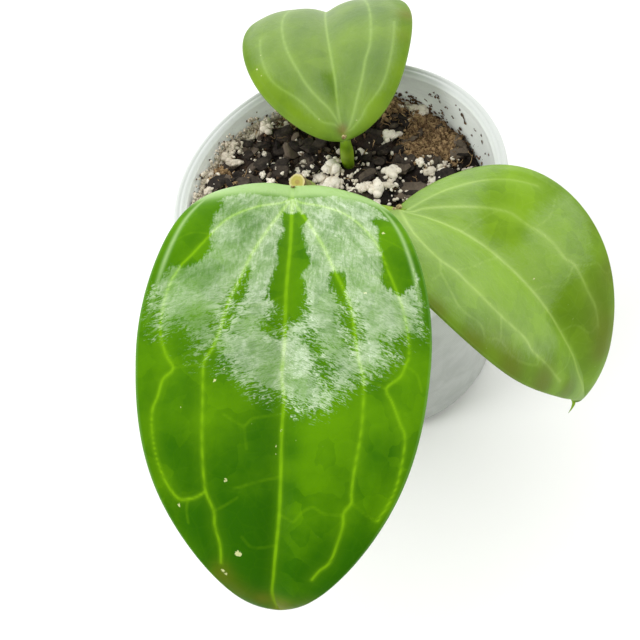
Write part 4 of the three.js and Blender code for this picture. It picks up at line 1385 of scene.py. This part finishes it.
perlite = dict(
    # the grains that show between the leaves: x, y, width, depth, turn
    grains=[
        (-6.8, 26.8, 1.4, 1.7, 0), (-12.5, 25.4, 1.8, 3.7, 15), (-19.6, 24.5, 3.5, 2.2, -20),
        (-18, 30.1, 1.4, 2.3, 10), (-20.2, 21.1, 1.9, 2.6, 0), (-18.3, 17, 2.4, 2.5, 0),
        (-19.4, 38.4, 3, 2.2, 20), (-14.9, 38.4, 4.2, 4.8, 0), (-9, 39.1, 2.7, 2.7, 30),
        (-27.8, 28.5, 5.2, 3, -10), (-22.9, 36.2, 1.7, 2.6, 0), (-26.4, 34, 3.2, 3, 0),
        (-29.6, 31.2, 3, 3.8, 20), (-37.1, 18.4, 2.8, 2.2, 30), (-40.5, 17.5, 2.4, 2.2, 0),
        (-33.5, 24.6, 2, 2, 0), (-36.6, 22.6, 2.2, 2.1, 0), (-9.7, 19.2, 2.5, 3, 20),
        (-7.5, 17, 2.2, 2.5, 0), (-5.4, 18.2, 2.2, 2.4, 0), (-4.1, 16, 4, 3.6, 30), (1, 16.8, 5.2, 5.6, 0),
        (-2.9, 14.6, 2.6, 2.8, 0), (-0.8, 11.4, 5.2, 3.8, 15), (4.3, 5.6, 2.8, 2.3, 0),
        (10.9, 21, 2.9, 2.8, 0), (10.6, 19.2, 1.2, 1.2, 0), (8.2, 6, 3.8, 3.6, 0), (12, 3.8, 4.6, 5.4, 10),
        (17.5, 8.6, 5.4, 5, 0), (15.4, 3.6, 2.6, 3.2, 25), (10.3, 0, 3.2, 2.6, -30),
        (20.6, 22.1, 5.4, 3.7, 12), (24.4, 23.5, 3.4, 2.5, 20), (25.4, 19.3, 2.2, 1.9, 0),
        (23.7, 17.5, 2.2, 1.9, 0), (25.7, 17.2, 1.4, 1.6, 0), (26.9, 8.4, 2.4, 2.8, 30),
        (28.9, 5.2, 3.1, 3, 0), (32, 4.8, 2.5, 2.2, 0), (33.7, 8.1, 2.8, 1.9, 20), (28.6, 2.8, 3.1, 2.7, 0),
        (31.7, 2.4, 2.5, 2, 0), (29.2, 1.4, 2.2, 1.6, 0), (27.5, 1.3, 1.6, 1.5, 0), (41.2, 4.5, 2.2, 2, 0),
        (39.5, 4.5, 2.2, 1.7, 0), (33, 27.4, 4.6, 3.8, 10), (36, 27.2, 3.3, 2.8, 0), (30, 31.5, 4, 3, 10),
        (33.5, 30.3, 3.2, 2.6, -20), (27.5, 30.8, 2.6, 2.2, 0), (31, 28.6, 2.8, 2.6, 0),
        (29.3, 24.7, 1.6, 1.6, 0), (0.5, -1, 4, 3.4, 0), (-34, -12, 3.8, 3, 0), (-20, -31, 4, 3.6, 0),
        (14, -33, 4.2, 3.2, 0), (33, -18, 3.8, 3.4, 0), (-14, -14, 3.4, 3, 0), (-41, 1, 3, 3, 0)],
    swell=1.26,
    flatness=0.78,
    # each of these grains is a few popped lumps grown together: how many, how far out and up, how large
    parts=9,
    partOut=(0.35, 0.78),
    partUp=(-0.25, 0.35),
    partSize=(0.26, 0.52),
    coreSize=0.68,
    small=520,
    smallest=0.4,
    largest=1.9,
    # where the small grains gather: x, y, reach, share
    beds=[(2, 13, 8, 0.34), (16, 5, 8, 0.12), (-31, 27, 7, 0.14), (31, 5, 5, 0.15), (-10, 20, 7, 0.08)],
    # dusty clumps that climb the wall between two angles
    wallDust=dict(count=1500, start=92, end=192, climb=1.1, size=(0.22, 0.85)),
    reach=(44, 43.8),  # for the small grains at first, and after they are moved to their beds
    seed=13,
    colour=(248, 241, 225),
    shade=(206, 190, 164),
    dirt=(168, 152, 126),
    pits=(120, 106, 88),
)


def perliteMaterial():
    material, tree, skin = startMaterial("perlite_grain", Roughness=0.85, Specular_IOR_Level=0.3)
    place = placed(tree)
    cloud = grain(tree, place, 420, 3.0, 0.6)
    pits = spread(tree, cellsOf(tree, place, 1300.0), 0.24, 0.08)
    hole = times(tree, pits, spread(tree, cloud, 0.5, 0.62))
    colour = layered(
        tree, blend(tree, spread(tree, cloud, 0.35, 0.75, 0.0, 0.3), perlite["colour"], perlite["shade"]),
        (times(tree, marked(tree, "own"), 0.5), perlite["dirt"]),
        (times(tree, hole, 0.8), perlite["pits"]))
    height = minus(tree, grain(tree, place, 2200, 3.0, 0.6), times(tree, hole, 1.5))
    dress(tree, skin, colour, raised(tree, height, 0.0004, 0.7))
    return material


def bigGrains(random):
    x, y, width, depth, turn = np.array(perlite["grains"], float).T
    width, depth, parts = width * perlite["swell"], depth * perlite["swell"], perlite["parts"]
    sizes = stacked(width / 2, depth / 2, (width + depth) / 4 * perlite["flatness"])
    turns = turnedBy(np.radians(turn))
    centres = onSoil(x, y, sizes[:, 2] * 0.3 + 0.1)
    spin = random.uniform(0, 2 * np.pi, (len(x), parts))
    out = random.uniform(*perlite["partOut"], (len(x), parts))
    up = random.uniform(*perlite["partUp"], (len(x), parts))
    offsets = stacked(np.cos(spin) * out, np.sin(spin) * out, up)
    offsets[:, 0] = 0
    offsets = np.einsum("nij,npj->npi", turns, offsets * sizes[:, None])
    centres = (centres[:, None] + offsets).reshape(-1, 3)
    share = random.uniform(*perlite["partSize"], (len(x), parts, 1))
    share[:, 0] = perlite["coreSize"]
    sizes = (sizes[:, None] * share * random.uniform(0.8, 1.2, (len(x), parts, 3))).reshape(-1, 3)
    lumps = scatter(ballShape(2), centres, sizes, np.repeat(turns, parts, axis=0), 0.14, random, 0, 0.1)
    dusty = np.clip((np.hypot(x, y) - 31) / 8, 0, 1) * random.uniform(0.4, 1, len(x))
    return lumps, np.maximum(random.uniform(0, 1, len(x)) ** 3, dusty)


def smallGrains(random):
    x, y = spots(random, perlite["small"], perlite["reach"][0])
    used = 0
    for cx, cy, reach, share in perlite["beds"]:
        some = slice(used, used + int(share * len(x)))
        x[some] = cx + random.normal(0, reach * 0.6, len(x[some]))
        y[some] = cy + random.normal(0, reach * 0.6, len(y[some]))
        used = some.stop
    x, y = clearOfStems(*keptWithin(x, y, perlite["reach"][1]), 3.2)
    wider = perlite["largest"] - perlite["smallest"]
    long = perlite["smallest"] + wider * random.uniform(0, 1, len(x)) ** 2
    sizes = stacked(long * 0.5, long * 0.42, long * 0.4)
    centres = onSoil(x, y, 0.5 + long * 0.2)
    lumps = scatter(ballShape(2), centres, sizes, anyTurn(random, len(x), 1.0), 0.12, random)
    return lumps, random.uniform(0, 1, len(x))


def wallDust(random):
    dust = perlite["wallDust"]
    count = dust["count"]
    turn = np.radians(random.uniform(dust["start"], dust["end"], count) + 5 * np.sin(np.arange(count)))
    inward = random.exponential(1.6, count)
    edge = soilRadius(86) - 0.5 - inward
    level = soilHeight(edge * np.cos(turn), edge * np.sin(turn))
    height = level + random.exponential(dust["climb"], count) * (inward < 1.2)
    height = np.minimum(height, pot["height"] - 2.2)
    edge = np.minimum(edge, soilRadius(height) - 0.3)
    grit = random.uniform(*dust["size"], (count, 1)) * np.array([0.9, 1, 1])
    centres = stacked(edge * np.cos(turn), edge * np.sin(turn), height)
    lumps = scatter(ballShape(1), centres, grit, anyTurn(random, count, 1.0), 0.18, random, 0, 0.2)
    return lumps, random.uniform(0.7, 1.3, count)


def buildPerlite():
    random = np.random.default_rng(perlite["seed"])
    points, faces, own = joinLumps([bigGrains(random), smallGrains(random), wallDust(random)])
    return makePiece("perlite_grains", points, faces, [perliteMaterial()], marks=dict(own=own))


# Tufts of brown coir

coir = dict(
    # x, y, reach, how many fibres, rise above the soil
    tufts=[
        (36, 18, 6.5, 300, 3.6), (28.5, 17, 6, 220, 3), (33.5, 23, 5, 150, 3), (25, 33, 5, 160, 3),
        (35, 12, 5, 100, 2), (-7, 41, 3.5, 80, 2.2), (-33, 26, 4, 60, 1.6), (-29, 20.5, 4, 50, 1.2),
        (2, 36, 6, 60, 1), (-36, 12, 4, 40, 1.2)],
    loose=320,
    pith=2300,
    pithSize=(0.3, 1.05),
    length=(1.8, 5),
    radius=(0.07, 0.16),
    steps=9,
    reach=(44, 45, 44.3),  # of the roots of the fibres, of their ends and of the pith
    seed=14,
    dark=(88, 64, 40),
    light=(182, 152, 110),
)


def fibreRoutes(random):
    starts, rises = [], []
    for cx, cy, reach, count, rise in coir["tufts"]:
        spot = random.normal(0, 0.45, (count, 2)) * reach + (cx, cy)
        starts.append(spot)
        near = np.exp(-((spot - (cx, cy)) ** 2).sum(axis=1) / (reach ** 2))
        rises.append(rise * near * random.uniform(0.1, 1, count))
    x, y = spots(random, coir["loose"], coir["reach"][0])
    starts.append(stacked(x, y))
    rises.append(random.uniform(0.1, 0.7, len(x)))
    rises = np.concatenate(rises)[:, None]
    x, y = keptWithin(*np.vstack(starts).T, coir["reach"][0])
    count, steps = len(x), coir["steps"]
    heading = random.uniform(0, 2 * np.pi, count)
    curl = random.normal(0, 0.5, (count, steps))
    climb = random.normal(0, 0.25, (count, steps))
    stride = (random.uniform(*coir["length"], count) / steps)[:, None]
    way = heading[:, None] + np.cumsum(curl, axis=1)
    x = x[:, None] + np.cumsum(np.cos(way) * stride, axis=1)
    y = y[:, None] + np.cumsum(np.sin(way) * stride, axis=1)
    x, y = keptWithin(x, y, coir["reach"][1])
    arch = np.sin(np.linspace(0.25, np.pi - 0.25, steps))[None, :]
    return onSoil(x, y, 0.2 + rises * (0.5 + 0.6 * arch) + np.cumsum(climb, axis=1) * 0.35)


def pithCrumbs(random):
    # crumbs of pith among the fibres of each tuft
    x, y, reach, count, rise = np.array(coir["tufts"], float).T
    pick = random.choice(len(count), coir["pith"], p=count / count.sum())
    centre = stacked(x, y)[pick]
    spot = centre + random.normal(0, 0.42, (len(pick), 2)) * reach[pick][:, None]
    spot = stacked(*keptWithin(*spot.T, coir["reach"][2]))
    lift = rise[pick] * random.uniform(0, 0.75, len(pick))
    lift *= np.exp(-((spot - centre) ** 2).sum(axis=1) / reach[pick] ** 2)
    size = random.uniform(*coir["pithSize"], (len(pick), 1)) * np.array([1, 0.8, 0.7])
    turns = anyTurn(random, len(pick), 1.2)
    lumps, faces = scatter(ballShape(1), onSoil(*spot.T, lift), size, turns, 0.2, random)
    return lumps, faces, np.repeat(random.uniform(0, 1, len(pick)), len(lumps) // len(pick))


def buildCoir():
    random = np.random.default_rng(coir["seed"])
    routes, steps = fibreRoutes(random), coir["steps"]
    radius = random.uniform(*coir["radius"], len(routes))
    tones = random.uniform(0, 1, len(routes))
    taper = np.sin(np.linspace(0.35, np.pi - 0.35, steps))[:, None]
    points, faces = [], []
    for i, route in enumerate(routes):
        rings, _ = tubeRings(route, radius[i] * taper, 4)
        points.append(rings.reshape(-1, 3))
        start = i * 4 * steps
        end = start + 4 * (steps - 1)
        faces += ringQuads(steps, 4, start)
        faces += [(start + 3, start + 2, start + 1, start), (end, end + 1, end + 2, end + 3)]
    crumbs, crumbFaces, crumbTones = pithCrumbs(random)
    faces += (crumbFaces + len(routes) * 4 * steps).tolist()
    own = np.concatenate([np.repeat(tones, 4 * steps), crumbTones])
    skin = earthMaterial("coir_fibre", coir["dark"], coir["light"], 0.8, 1200, 0.0002)
    return makePiece("coir_fibres", np.vstack(points + [crumbs]), faces, [skin], marks=dict(own=own))


# The studio and the camera

studio = dict(
    brightSide=(0.5, 0.8, 0.4),  # the soft light comes from behind and above
    bright=1.62,
    dim=0.6,
    fadeFrom=-0.15,
    fadeTo=0.5,
    lampPlace=(-620, -80, 460),
    lampAim=(0, 0, 80),
    lampSize=320,
    lampPower=2.2,
    floorSize=4000,
    floorDrop=0.2,
    floorColour=(246, 246, 244),
    floorShade=(236, 236, 232),
)

camera = dict(
    place=(0, -193.54, 312.64),
    aim=(-21.94, 17.74, 0),  # where the middle of the view meets the floor
    roll=-24.007,
    lens=56.25,
    sensor=36,
)


def setStudio():
    scene = bpy.context.scene
    scene.view_settings.view_transform = "Standard"
    world = bpy.data.worlds.new("soft_studio")
    world.use_nodes = True
    scene.world = world
    tree = world.node_tree
    look = addNode(tree, "TexCoord").outputs["Generated"]
    side = Vector(studio["brightSide"]).normalized()
    facing = addNode(tree, "VectorMath", {0: look, 1: side[:]}, operation="DOT_PRODUCT").outputs["Value"]
    amount = spread(tree, facing, studio["fadeFrom"], studio["fadeTo"], studio["dim"], studio["bright"])
    sky = tree.nodes["Background"]
    sky.inputs["Color"].default_value = (1.0, 1.0, 1.0, 1.0)
    tree.links.new(amount, sky.inputs["Strength"])

    lamp = bpy.data.lights.new("soft_lamp", "AREA")
    lamp.shape, lamp.size = "DISK", studio["lampSize"] * mm
    lamp.energy = studio["lampPower"]
    light = bpy.data.objects.new("soft_lamp", lamp)
    bpy.context.collection.objects.link(light)
    light.location = Vector(studio["lampPlace"]) * mm
    aim = Vector(studio["lampAim"]) * mm - light.location
    light.rotation_euler = aim.to_track_quat("-Z", "Y").to_euler()

    material, tree, skin = startMaterial("studio_floor", Roughness=0.9, Specular_IOR_Level=0.1)
    cloud = spread(tree, grain(tree, placed(tree), 3.0, 2.0), 0.3, 0.7, 0.0, 0.04)
    tree.links.new(blend(tree, cloud, studio["floorColour"], studio["floorShade"]), skin.inputs["Base Color"])
    half, drop = studio["floorSize"] / 2, -studio["floorDrop"]
    corners = [(-half, -half, drop), (half, -half, drop), (half, half, drop), (-half, half, drop)]
    floor = makePiece("floor", corners, [(0, 1, 2, 3)], [material], smooth=False)
    floor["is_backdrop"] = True


def setCamera():
    place, aim = Vector(camera["place"]) * mm, Vector(camera["aim"]) * mm
    ahead = (aim - place).normalized()
    level = ahead.cross(Vector((0, 0, 1))).normalized()
    upright = level.cross(ahead)
    cosine, sine = rotation(camera["roll"])
    right = level * cosine + upright * sine
    up = upright * cosine - level * sine
    lens = bpy.data.cameras.new("view")
    lens.lens, lens.sensor_width, lens.sensor_height = camera["lens"], camera["sensor"], camera["sensor"]
    lens.clip_start, lens.clip_end = 0.01, 20
    view = bpy.data.objects.new("view", lens)
    view.matrix_world = Matrix((right, up, -ahead)).transposed().to_4x4()
    view.location = place
    bpy.context.collection.objects.link(view)
    bpy.context.scene.camera = view


# The whole plant, piece by piece

setStudio()
setCamera()
print("studio and camera set")

for leaf in (frontLeaf, rightLeaf, backLeaf):
    standFor(buildLeaf(leaf), leaf["name"], leaf["slot"])
standFor(buildPot(), "pot", "pot_plastic")
standFor(buildStem(), "stem", "stem_bark")
standFor(buildSoil(), "soil", "potting_mix")
standFor(buildLumps("bark_chips", bark, ballShape(2), "bark_chip"), "soil", "potting_mix")
standFor(buildLumps("peat_crumbs", peat, ballShape(1), "peat_crumb"), "soil", "potting_mix")
standFor(buildPerlite(), "soil", "potting_mix")
standFor(buildCoir(), "soil", "potting_mix")

str([[[float(v) for v in corner] for corner in box] for box in (cadBox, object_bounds())])
